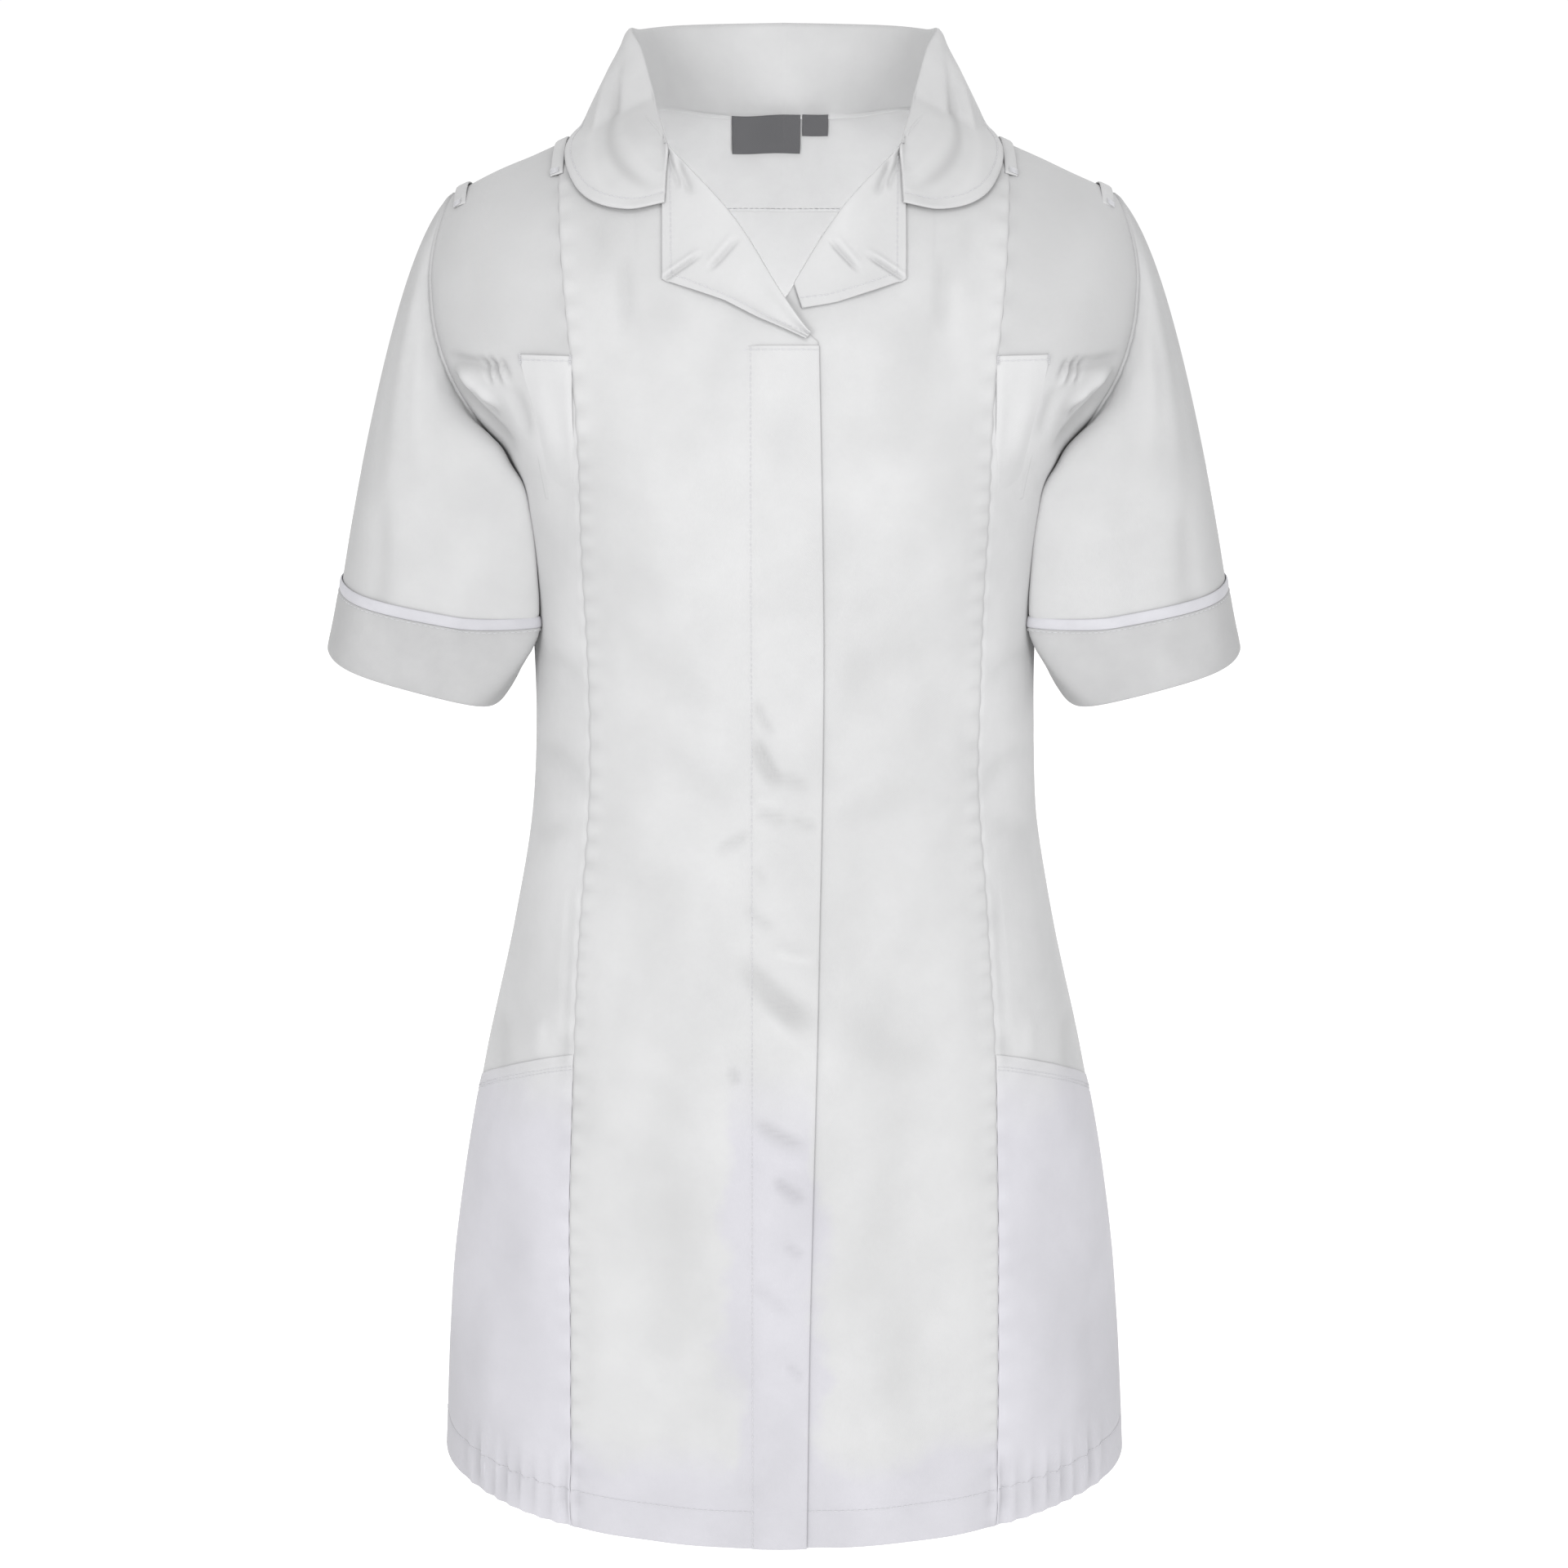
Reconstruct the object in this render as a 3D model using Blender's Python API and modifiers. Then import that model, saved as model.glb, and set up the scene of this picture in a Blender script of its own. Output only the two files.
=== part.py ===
"""A white short-sleeved healthcare tunic, hollow, in the shape it has when it is worn.

The frame is in metres with +Z up. The front faces -Y and the wearer's right side is at -X.
The origin is midway between the shoulders, where the wearer's shoulders hold the tunic.
The tables below are in millimetres, for one half of the garment: x counts outwards from the
centre line, and z is the height.

Every panel is read from one form. A place on it is (u, level): u is 0 at the centre line, 1 at
the princess seam and 2 at the side seam or the armhole. level is the height up to CHEST, and
above that it runs on to SHOULDER, where the front and the back meet in the shoulder seam.
"""

from collections import namedtuple

import bmesh
import bpy
import numpy as np

MM = 0.001
FRONT, BACK = -1, 1
SIDES = {"right": -1, "left": 1}

# Cloth
WALL = 1.2
DOUBLE = 2.0
GAP = 0.3
LAY = 0.45

# Heights of the form
HEM = -711.0
UNDERARM = -158.0
CHEST = -64.0
SHOULDER = 36.0

# Shoulder seam, straight from the neck to the tip
NECK_X, NECK_Z = 78.0, 26.4
TIP_X = 171.0
SHOULDER_FALL = 0.46
SHOULDER_PRINCESS_X = 116.0
SHOULDER_ROUND = 0.56

# Closure: the right front laps over the left one
STITCH_X = 17.5
LAP_X = 14.0
LAP_DEPTH = 3.2
STEP_FROM, STEP_TO = 20.0, 40.0
PLACKET_TOP = -88.5
ZIP_WIDTH, ZIP_TOP, ZIP_END = 18.0, -98.0, -690.0

# Pieces laid on the panels
PEN_POCKET_TOP, PEN_POCKET_END = -94.5, -168.0
HIP_MOUTH_FRONT, HIP_MOUTH_SIDE = -457.0, -497.0
FACING_END, FACING_ROWS = -28.0, 4
LOOP_WIDTH = 6.0
Loop = namedtuple("Loop", "name x rise")
LOOPS = (Loop("inner", 114.4, 0.4), Loop("outer", 166.0, 1.2))

# Sleeve end
SLEEVE_SQUARE = 2.4
PIPING_WIDTH, PIPING_RISE = 6.0, 0.3

WHITE = (0.80, 0.81, 0.83, 1)
SIDE_WHITE = (0.74, 0.76, 0.79, 1)
TRIM_WHITE = (0.84, 0.85, 0.87, 1)
LABEL_GREY = (0.19, 0.19, 0.20, 1)
TAPE_WHITE = (0.70, 0.71, 0.73, 1)

Ring = namedtuple("Ring", "z half_width front back square")
RINGS = (
    Ring(HEM, 191.0, 143, 139, 2.0),
    Ring(-640, 187.0, 139, 138, 2.05),
    Ring(-551, 177.0, 132, 136, 2.15),
    Ring(-478, 163.5, 125, 132, 2.15),
    Ring(-407, 147.5, 116, 121, 2.15),
    Ring(-345, 136.6, 110, 106, 2.15),
    Ring(-288, 133.0, 108, 98, 2.15),
    Ring(-240, 133.2, 112, 98, 2.18),
    Ring(-205, 133.6, 118, 101, 2.2),
    Ring(-180, 136.0, 122, 105, 2.25),
    Ring(UNDERARM, 143.5, 123, 108, 2.3),
    Ring(-145, 152.0, 123, 110, 2.3),
    Ring(-126.5, 168.0, 121, 112, 2.3),
    Ring(-106, 181.0, 118, 114, 2.3),
    Ring(-85, 187.5, 114, 114, 2.3),
    Ring(CHEST, 188.5, 108, 113, 2.3),
)

Princess = namedtuple("Princess", "z x")
PRINCESS = (
    Princess(HEM, 113.0),
    Princess(-600, 112.5),
    Princess(-480, 111.0),
    Princess(-390, 106.5),
    Princess(-310, 101.0),
    Princess(-250, 101.0),
    Princess(-180, 103.0),
    Princess(-115, 104.0),
    Princess(CHEST, 109.0),
)

Armhole = namedtuple("Armhole", "z x")
ARMHOLE = (
    Armhole(UNDERARM, 143.5),
    Armhole(-145, 149.5),
    Armhole(-126.5, 161.0),
    Armhole(-115, 168.0),
    Armhole(-93, 176.5),
    Armhole(-78, 179.8),
    Armhole(CHEST, 181.0),
)

# The front's upper edge: the roll line from the closure to the collar, then the neck seam.
NeckEdge = namedtuple("NeckEdge", "x z")
FRONT_NECK = (
    NeckEdge(-20.0, -89.0),
    NeckEdge(-14.0, -84.5),
    NeckEdge(0.0, -66.5),
    NeckEdge(19.6, -35.5),
    NeckEdge(57.0, 4.7),
    NeckEdge(NECK_X, NECK_Z),
)
BACK_NECK = (
    NeckEdge(-1.0, 23.6),
    NeckEdge(40.0, 24.3),
    NeckEdge(68.0, 27.6),
    NeckEdge(NECK_X, NECK_Z),
)
COLLAR_FRONT_X = 57.0
SEAM_RISE_FRONT, SEAM_RISE_BACK = 2.5, 0.5

# The closure's edge, which wanders a little towards the hem.
LapEdge = namedtuple("LapEdge", "z x")
LAP_EDGE = (
    LapEdge(HEM, 11.2),
    LapEdge(-609, 12.4),
    LapEdge(-478, 15.5),
    LapEdge(-388, 17.5),
    LapEdge(-262, 19.2),
    LapEdge(-88, 16.5),
)

# Each row is a section across the collar, from its front end to the centre of the back.
# along is the share of the neck seam, and the places are on the fold and the leaf's edge.
Collar = namedtuple("Collar", "along fold_x fold_y fold_z leaf_x leaf_y leaf_z")
COLLAR = (
    Collar(0.00, 58.4, -69, 8.5, 59.4, -90, -19.4),
    Collar(0.10, 60.5, -54, 13, 77, -87, -22.5),
    Collar(0.19, 65.0, -33, 22, 93, -77, -21),
    Collar(0.30, 71.0, -13, 41.0, 104.0, -58, -13.5),
    Collar(0.38, 75.5, 2, 57, 108.0, -36, -1.5),
    Collar(0.45, 78.2, 13, 65.2, 106.0, -10, 14.5),
    Collar(0.60, 74.5, 40, 67.5, 103, 30, 13.0),
    Collar(0.75, 57.5, 68, 70.5, 86, 63, 7),
    Collar(0.88, 31.0, 82, 72, 49, 91, 2),
    Collar(1.00, 0.0, 87, 72.8, 0, 101, 0),
)

# Each row joins a place on the roll line to one on the lapel's outer or lower edge.
Lapel = namedtuple("Lapel", "roll_x edge_x edge_z")
RIGHT_LAPEL = (
    Lapel(56.0, 59.4, 0.5),
    Lapel(44.0, 59.4, -20.0),
    Lapel(31.0, 59.4, -39.0),
    Lapel(19.0, 59.4, -57.0),
    Lapel(9.0, 43.0, -62.5),
    Lapel(1.0, 28.5, -67.5),
    Lapel(-6.0, 12.5, -75.5),
    Lapel(-12.5, -10.5, -85.0),
)
LEFT_LAPEL = (
    Lapel(56.0, 59.4, 0.5),
    Lapel(44.0, 59.4, -20.0),
    Lapel(31.0, 59.4, -39.0),
    Lapel(21.0, 59.4, -57.0),
    Lapel(15.0, 43.0, -62.5),
    Lapel(9.5, 26.0, -67.5),
    Lapel(5.0, 9.0, -70.5),
)

# Rings across the sleeve's end. tilt is in degrees, and down is the distance below the cuff seam.
SleeveEnd = namedtuple("SleeveEnd", "down x z half_width half_depth tilt")
SLEEVE_END = (
    SleeveEnd(-PIPING_WIDTH, 185.0, -229.3, 48.9, 53.8, 12),
    SleeveEnd(0, 186.3, -235.2, 48.9, 53.8, 12),
    SleeveEnd(36, 196.0, -269.5, 45.7, 52.0, 16.5),
)

Bust = namedtuple("Bust", "x z rise spread_x spread_z")
BUST = Bust(84, -172, 9, 42, 52)


def read(table, column, at):
    """One column of a table as a smooth curve of its first column, read at the given places."""
    knots = np.array([row[0] for row in table], float)
    values = np.array([getattr(row, column) for row in table], float)
    slopes = np.gradient(values, knots)
    k = np.clip(np.searchsorted(knots, at, side="right") - 1, 0, len(knots) - 2)
    width = knots[k + 1] - knots[k]
    t = np.clip((at - knots[k]) / width, 0, 1)
    start = (2 * t**3 - 3 * t**2 + 1) * values[k] + (t**3 - 2 * t**2 + t) * width * slopes[k]
    end = (3 * t**2 - 2 * t**3) * values[k + 1] + (t**3 - t**2) * width * slopes[k + 1]
    return start + end


def ease(value, low, high):
    """0 below low, 1 above high, and a smooth rise between."""
    t = np.clip((value - low) / (high - low), 0, 1)
    return t * t * (3 - 2 * t)


def bezier(p0, p1, p2, p3, t):
    return (1 - t) ** 3 * p0 + 3 * (1 - t) ** 2 * t * p1 + 3 * (1 - t) * t**2 * p2 + t**3 * p3


def unit(vectors):
    return vectors / np.maximum(np.linalg.norm(vectors, axis=-1, keepdims=True), 1e-9)


def on_ring(face, u, z):
    """x and y on the level ring at height z."""
    half_width = read(RINGS, "half_width", z)
    depth = read(RINGS, "front" if face == FRONT else "back", z)
    power = read(RINGS, "square", z) / 2
    seam = read(PRINCESS, "x", z)
    edge = np.where(z <= UNDERARM, half_width, read(ARMHOLE, "x", z))
    seam_angle = np.arcsin((seam / half_width) ** power)
    edge_angle = np.arcsin(np.clip(edge / half_width, 0, 1) ** power)
    out = np.abs(u)
    inner_angle = np.arcsin(np.clip(out * seam / half_width, 0, 1) ** power)
    angle = np.where(out <= 1, inner_angle, seam_angle + (out - 1) * (edge_angle - seam_angle))
    x = half_width * np.sin(angle) ** (1 / power)
    y = face * depth * np.clip(np.cos(angle), 0, 1) ** (1 / power)
    if face == FRONT:
        across = (x - BUST.x) / BUST.spread_x
        up = (z - BUST.z) / BUST.spread_z
        y = y - BUST.rise * np.exp(-(across**2) - up**2) * ease(-y, 0, 60)
    return np.sign(u) * x, y


def seam_height(x):
    return NECK_Z - SHOULDER_FALL * (np.abs(x) - NECK_X)


def form(face, u, level):
    """Points of the tunic's outer form on the wearer's left side, for arrays of u and level."""
    u, level = np.broadcast_arrays(np.asarray(u, float), np.asarray(level, float))
    low_x, low_y = on_ring(face, u, np.minimum(level, CHEST))
    chest_x, chest_y = on_ring(face, u, np.full(u.shape, CHEST))
    below_x, below_y = on_ring(face, u, np.full(u.shape, CHEST - 4))
    out = np.abs(u)
    top_x = np.where(
        out <= 1, out * SHOULDER_PRINCESS_X, SHOULDER_PRINCESS_X + (out - 1) * (TIP_X - SHOULDER_PRINCESS_X)
    )
    top_x = np.sign(u) * top_x
    top_z = seam_height(top_x)
    handle = 0.42 * (top_z - CHEST) / 4
    t = np.clip((level - CHEST) / (SHOULDER - CHEST), 0, 1)
    lean_x = chest_x + handle * (chest_x - below_x)
    lean_y = chest_y + handle * (chest_y - below_y)
    x = bezier(chest_x, lean_x, top_x + 0.25 * (chest_x - top_x), top_x, t)
    y = bezier(chest_y, lean_y, SHOULDER_ROUND * chest_y, 0, t)
    z = bezier(CHEST, CHEST + handle * 4, top_z, top_z, t)
    above = level > CHEST
    return np.stack([np.where(above, x, low_x), np.where(above, y, low_y), np.where(above, z, level)], -1)


def form_normal(face, u, level):
    """Outward directions of the form."""
    nudge_u = np.where(np.asarray(u) > 1.97, -0.02, 0.02)
    nudge_level = np.where(np.asarray(level) > SHOULDER - 3, -2.0, 2.0)
    here = form(face, u, level)
    across = (form(face, u + nudge_u, level) - here) * np.sign(nudge_u)[..., None]
    up = (form(face, u, level + nudge_level) - here) * np.sign(nudge_level)[..., None]
    return unit(np.cross(across, up)) * -face


def moved_out(face, u, level, distance):
    return form(face, u, level) + form_normal(face, u, level) * np.asarray(distance)[..., None]


def level_at(face, u, target):
    """The level at which the column u reaches a height, where target gives that height for each x."""
    low, high = np.full(np.shape(u), HEM), np.full(np.shape(u), SHOULDER)
    for _ in range(40):
        middle = (low + high) / 2
        point = form(face, u, middle)
        under = point[..., 2] < target(point[..., 0])
        low, high = np.where(under, middle, low), np.where(under, high, middle)
    return (low + high) / 2


def place_at(face, x, z):
    """u and level of the point of the form at x and z, for x inside the princess seam or below CHEST."""
    x, z = np.broadcast_arrays(np.asarray(x, float), np.asarray(z, float))
    low, high = np.full(x.shape, HEM), np.full(x.shape, SHOULDER)
    for _ in range(40):
        middle = (low + high) / 2
        under = form(face, x / form(face, np.ones(x.shape), middle)[..., 0], middle)[..., 2] < z
        low, high = np.where(under, middle, low), np.where(under, high, middle)
    level = (low + high) / 2
    seam = form(face, np.ones(x.shape), level)[..., 0]
    ring = np.minimum(level, CHEST)
    half_width = read(RINGS, "half_width", ring)
    power = read(RINGS, "square", ring) / 2
    edge = np.where(ring <= UNDERARM, half_width, read(ARMHOLE, "x", ring))
    angles = [np.arcsin(np.clip(v / half_width, 0, 1) ** power) for v in (np.abs(x), seam, edge)]
    outer = 1 + (angles[0] - angles[1]) / np.maximum(angles[2] - angles[1], 1e-6)
    return np.where(np.abs(x) <= seam, x / seam, np.sign(x) * outer), level


def column_at(face, x, level):
    """u of the point of the form at x, at each level."""
    low, high = np.zeros(x.shape), np.full(x.shape, 2.0)
    for _ in range(40):
        middle = (low + high) / 2
        inside = form(face, middle, level)[..., 0] < x
        low, high = np.where(inside, middle, low), np.where(inside, high, middle)
    return (low + high) / 2


def front_neck_height(x):
    return np.where(x >= NECK_X, seam_height(x) + 1, read(FRONT_NECK, "z", x))


def back_neck_height(x):
    x = np.abs(x)
    return np.where(x >= NECK_X, seam_height(x) + 1, read(BACK_NECK, "z", x))


def drawn_in(points, sides, by=0.24):
    """Pulls the named edges of a grid of points in along the cloth, which leaves the seam gap."""
    moved = points.copy()
    if "first" in sides:
        moved[:, 0] += unit(points[:, 1] - points[:, 0]) * by
    if "last" in sides:
        moved[:, -1] += unit(points[:, -2] - points[:, -1]) * by
    if "top" in sides:
        moved[-1] += unit(points[-2] - points[-1]) * by
    return moved


def mirrored(points, side):
    return points * np.array([side, 1, 1])


def cloth(name, points, colour, wall=WALL, loop=False):
    """A wall of cloth behind a grid of outer points: rows run up, and a loop's columns close."""
    rows, columns = points.shape[:2]
    mesh = bpy.data.meshes.new(name)
    sheet = bmesh.new()
    verts = [[sheet.verts.new(point * MM) for point in row] for row in points]
    steps = columns if loop else columns - 1
    for r in range(rows - 1):
        for c in range(steps):
            d = (c + 1) % columns
            sheet.faces.new((verts[r][c], verts[r][d], verts[r + 1][d], verts[r + 1][c]))
    sheet.to_mesh(mesh)
    sheet.free()
    mesh.shade_smooth()
    mesh.set_sharp_from_angle(angle=np.radians(50))
    obj = bpy.data.objects.new(name, mesh)
    tunic.objects.link(obj)
    mesh.materials.append(cloth_material(name, colour))
    thicken = obj.modifiers.new("Wall", "SOLIDIFY")
    thicken.thickness = wall * MM
    thicken.offset = -1
    return obj


def cloth_material(name, colour):
    material = bpy.data.materials.new(name)
    material.use_nodes = True
    shader = material.node_tree.nodes["Principled BSDF"]
    shader.inputs["Base Color"].default_value = colour
    shader.inputs["Roughness"].default_value = 0.85
    return material


def facing_out(points, side, face):
    """The columns in the order that turns the faces outwards."""
    return points if side * face == FRONT else points[:, ::-1]


def rows_below_arm():
    return np.linspace(HEM, UNDERARM, 17)


def rows_beside_arm():
    """Levels up the armhole, closer together where it turns at the underarm."""
    turn = 1 - np.cos(np.linspace(0, np.pi / 2, 10))
    return np.concatenate([UNDERARM + (CHEST - UNDERARM) * turn, np.linspace(CHEST, SHOULDER, 6)[1:]])


def centre_grid(face, columns_at, bands):
    """u and level for a centre panel. Above the underarm each band of rows ends at its own height."""
    lower = rows_below_arm()
    u_rows = [columns_at(lower)]
    level_rows = [np.repeat(lower[:, None], u_rows[0].shape[1], 1)]
    top_u = columns_at(np.array([PLACKET_TOP]))[0]
    for target, steps in bands:
        start = level_rows[-1][-1]
        top = level_at(face, top_u, target)
        level = start + (top - start) * np.arange(1, steps + 1)[:, None] / steps
        u_rows.append(np.stack([columns_at(np.array([min(row.min(), CHEST)]))[0] for row in level]))
        level_rows.append(level)
    return np.vstack(u_rows), np.vstack(level_rows)


def right_front_columns(z):
    seam = read(PRINCESS, "x", z)
    edge = -read(LAP_EDGE, "x", z) / seam
    inner = [np.full(len(z), share) for share in (0.34, 0.43, 0.525, 0.567, 0.61, 0.655, 0.70, 0.85, 1.0)]
    return np.stack([edge, 0 * edge, STITCH_X / seam] + inner, -1)


def left_front_columns(z):
    seam = read(PRINCESS, "x", z)
    inner = [np.full(len(z), share) for share in (0.43, 0.525, 0.567, 0.61, 0.655, 0.70, 0.85, 1.0)]
    step = [x / seam for x in (-LAP_X, 3.0, STEP_FROM, (STEP_FROM + STEP_TO) / 2, STEP_TO)]
    return np.stack(step + inner, -1)


def lap_step(x):
    """How far the left front lies under the form, where the right front covers it."""
    return -LAP_DEPTH * (1 - ease(x, STEP_FROM, STEP_TO))


def make_fronts():
    u, level = centre_grid(FRONT, right_front_columns, ((front_neck_height, 9),))
    points = drawn_in(form(FRONT, u, level), ("last", "top"))
    cloth("front_centre_right", facing_out(mirrored(points, -1), -1, FRONT), WHITE)
    u, level = centre_grid(FRONT, left_front_columns, ((front_neck_height, 9),))
    x = form(FRONT, u, level)[..., 0]
    points = drawn_in(moved_out(FRONT, u, level, lap_step(x)), ("last", "top"))
    cloth("front_centre_left", facing_out(points, 1, FRONT), WHITE)


def back_columns(z):
    half = np.array([0.0, 0.14, 0.28, 0.42, 0.56, 0.70, 0.85, 1.0])
    return np.repeat(np.concatenate([-half[:0:-1], half])[None], len(z), 0)


def facing_end(x):
    return np.full(np.shape(x), FACING_END)


def back_grid():
    return centre_grid(BACK, back_columns, ((facing_end, 5), (back_neck_height, FACING_ROWS)))


def make_back():
    u, level = back_grid()
    points = drawn_in(form(BACK, u, level), ("first", "last", "top"))
    cloth("back_centre", facing_out(points, 1, BACK), WHITE)


def side_levels():
    return np.concatenate([rows_below_arm(), rows_beside_arm()[1:]])


def make_side_panels():
    level = side_levels()[:, None]
    u = np.linspace(1, 2, 7)[None]
    for face, name in ((FRONT, "side_front"), (BACK, "back_side")):
        points = drawn_in(form(face, u, level), ("first", "last", "top"))
        for label, side in SIDES.items():
            cloth(f"{name}_{label}", facing_out(mirrored(points, side), side, face), SIDE_WHITE)


def armhole_ring():
    """The armhole's edge from the shoulder tip down the front, and up the back to the tip."""
    level = rows_beside_arm()
    front = form(FRONT, np.full(level.shape, 2.0), level)[::-1]
    back = form(BACK, np.full(level.shape, 2.0), level)
    return np.vstack([front, back[1:-1]])


def ring_angles(ring):
    """Angles round the sleeve, by length: 0 at the shoulder tip and half a turn at the underarm."""
    half = (len(ring) + 2) // 2
    lengths = np.linalg.norm(np.diff(np.vstack([ring, ring[:1]]), axis=0), axis=1)
    front = np.concatenate([[0], np.cumsum(lengths[: half - 1])])
    back = np.cumsum(lengths[half - 1 :])[:-1]
    return np.concatenate([front / front[-1] * np.pi, np.pi + back / lengths[half - 1 :].sum() * np.pi])


def sleeve_ring(angle, down, proud=0.0):
    """A ring across the sleeve's end, down from the cuff seam by a distance and moved out by proud."""
    knots = [row.down for row in SLEEVE_END]
    x, z, half_width, half_depth, tilt = (
        np.interp(down, knots, [getattr(row, name) for row in SLEEVE_END]) for name in SleeveEnd._fields[1:]
    )
    tilt = np.radians(tilt)
    outwards = np.array([np.cos(tilt), 0, np.sin(tilt)])
    forwards = np.array([0, -1, 0])
    power = 2 / SLEEVE_SQUARE
    cos, sin = np.cos(angle), np.sin(angle)
    wide = np.sign(cos) * np.abs(cos) ** power * (half_width + proud)
    deep = np.sign(sin) * np.abs(sin) ** power * (half_depth + proud)
    return np.array([x, 0, z]) + outwards * wide[:, None] + forwards * deep[:, None]


def sleeve_points(shares):
    """Rows of the sleeve from the armhole to the cuff seam."""
    ring = armhole_ring()
    angle = ring_angles(ring)
    start = ring + np.array([1.0, 0, 0])
    end = sleeve_ring(angle, -GAP)
    length = np.linalg.norm(end - start, axis=1)[:, None]
    cos, sin = np.cos(angle), np.sin(angle)
    start[:, 0] += 0.3 * (1 - cos)
    leave = unit(np.stack([0.30 + 0.38 * cos, -0.42 * sin, -0.77 + 0.27 * cos], -1))
    reach = start + leave * length * (0.22 - 0.10 * cos[:, None])
    arrive = end + unit(sleeve_ring(angle, -PIPING_WIDTH) - sleeve_ring(angle, 0)) * length * 0.4
    return np.stack([bezier(start, reach, arrive, end, t) for t in shares])


def make_sleeves():
    sleeve = sleeve_points((1, 0.82, 0.64, 0.46, 0.28, 0.13, 0))
    angle = ring_angles(armhole_ring())
    cuff_depth = SLEEVE_END[-1].down
    band = [sleeve_ring(angle, down, 0.8) for down in (cuff_depth, cuff_depth * 0.5, GAP / 2)]
    trim = PIPING_WIDTH * np.array([0.06, 0.3, 0.7, 1.0])
    rise = LAY + WALL + PIPING_RISE * np.array([0.3, 1, 1, 0.3])
    piping = [sleeve_ring(angle, -down, out) for down, out in zip(trim, rise)]
    for label, side in SIDES.items():
        for name, rows, colour, wall in (
            ("sleeve", sleeve, SIDE_WHITE, WALL),
            ("cuff", np.stack(band), SIDE_WHITE, DOUBLE),
            ("piping", np.stack(piping), TRIM_WHITE, WALL),
        ):
            points = mirrored(rows, side)
            cloth(f"{name}_{label}", points if side == 1 else points[:, ::-1], colour, wall, loop=True)


def neck_path(count=160):
    """The neck seam on the left half, from the collar's front end round to the centre back."""
    front_x = np.linspace(COLLAR_FRONT_X, NECK_X, count)
    u, level = place_at(FRONT, front_x, front_neck_height(front_x - 1e-6))
    front = form(FRONT, u, level)
    back_x = np.linspace(NECK_X, 0, count)
    u, level = place_at(BACK, back_x, back_neck_height(back_x - 1e-6))
    path = np.vstack([front, form(BACK, u, level)[1:]])
    length = np.concatenate([[0], np.cumsum(np.linalg.norm(np.diff(path, axis=0), axis=1))])
    return path, length / length[-1]


def clear_of_body(points, clearance):
    """Moves the points that are nearer to the form than the clearance out along its normals."""
    cleared = points.copy()
    x, y, z = points[..., 0], points[..., 1], points[..., 2]
    low_enough = z < seam_height(x) - 0.5
    for face in (FRONT, BACK):
        u, level = place_at(face, x, np.minimum(z, seam_height(x) - 0.6))
        ahead = y - form(face, u, level)[..., 1]
        near = ahead * form_normal(face, u, level)[..., 1] < clearance
        skin = moved_out(face, u, level, np.full(u.shape, clearance))
        cleared = np.where((low_enough & (y * face >= 0) & near)[..., None], skin, cleared)
    return cleared


def collar_section(seam, fold, leaf):
    """Points from the neck seam up the stand, over the fold and down the leaf to its edge."""
    outwards = unit((leaf - fold) * np.array([1, 1, 0]))
    seam = seam + np.array([0, 0, SEAM_RISE_FRONT if seam[1] < 0 else SEAM_RISE_BACK])
    stand = [seam + (fold - seam) * share for share in (0, 0.5, 0.86)]
    over = [fold + outwards * 1.2 + np.array([0, 0, 0.4]), fold + outwards * 3.4 + np.array([0, 0, -1.2])]
    bulge = outwards * 0.01 * np.linalg.norm(leaf - fold)
    start = fold + outwards * 4 + np.array([0, 0, -3])
    hang = [start + (leaf - start) * share + bulge * 4 * share * (1 - share) for share in (0.12, 0.4, 0.7, 1)]
    return np.array(stand + over + hang)


def make_collar():
    path, along = neck_path()
    shares = np.array([0, 0.05, 0.11, 0.17, 0.23, 0.29, 0.35, 0.41, 0.48, 0.57, 0.68, 0.79, 0.90, 1])
    seam = np.stack([np.interp(shares, along, path[:, k]) for k in range(3)], -1)
    fold = np.stack([read(COLLAR, f"fold_{axis}", shares) for axis in "xyz"], -1)
    leaf = np.stack([read(COLLAR, f"leaf_{axis}", shares) for axis in "xyz"], -1)
    half = np.stack([collar_section(*ends) for ends in zip(seam, fold, leaf)], 1)
    half[3:] = clear_of_body(half[3:], DOUBLE + 1.5)
    whole = np.concatenate([mirrored(half, -1), half[:, :-1][:, ::-1]], 1)
    cloth("collar", whole[:, ::-1], WHITE, DOUBLE)


def lapel_points(table, shares, flat_from=None):
    """A lapel's outer face: it rises over the roll line, then lies on the front."""
    roll_x = np.array([row.roll_x for row in table])
    roll_z = read(FRONT_NECK, "z", roll_x)
    edge = np.array([(row.edge_x, row.edge_z) for row in table])
    roll = np.stack([roll_x, roll_z], -1)
    across = roll[None] + (edge - roll)[None] * np.array(shares)[:, None, None]
    lift = 0.9 + 3.0 * np.exp(-((np.array(shares) / 0.22) ** 2))
    lift = np.repeat(lift[:, None], len(table), 1)
    if flat_from is not None:
        lift = 0.9 + (lift - 0.9) * ease(across[..., 0], *flat_from)
    u, level = place_at(FRONT, across[..., 0], across[..., 1])
    return u, level, lift + WALL, across[..., 0]


def make_lapels():
    shares = (0, 0.12, 0.3, 0.55, 0.8, 1)
    u, level, out, _ = lapel_points(RIGHT_LAPEL, shares)
    points = mirrored(moved_out(FRONT, u, level, out), -1)
    cloth("lapel_right", points[::-1], WHITE)
    u, level, out, x = lapel_points(LEFT_LAPEL, shares, flat_from=(8.0, 34.0))
    points = moved_out(FRONT, u, level, out + lap_step(x))
    cloth("lapel_left", points[::-1, ::-1], WHITE)


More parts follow.
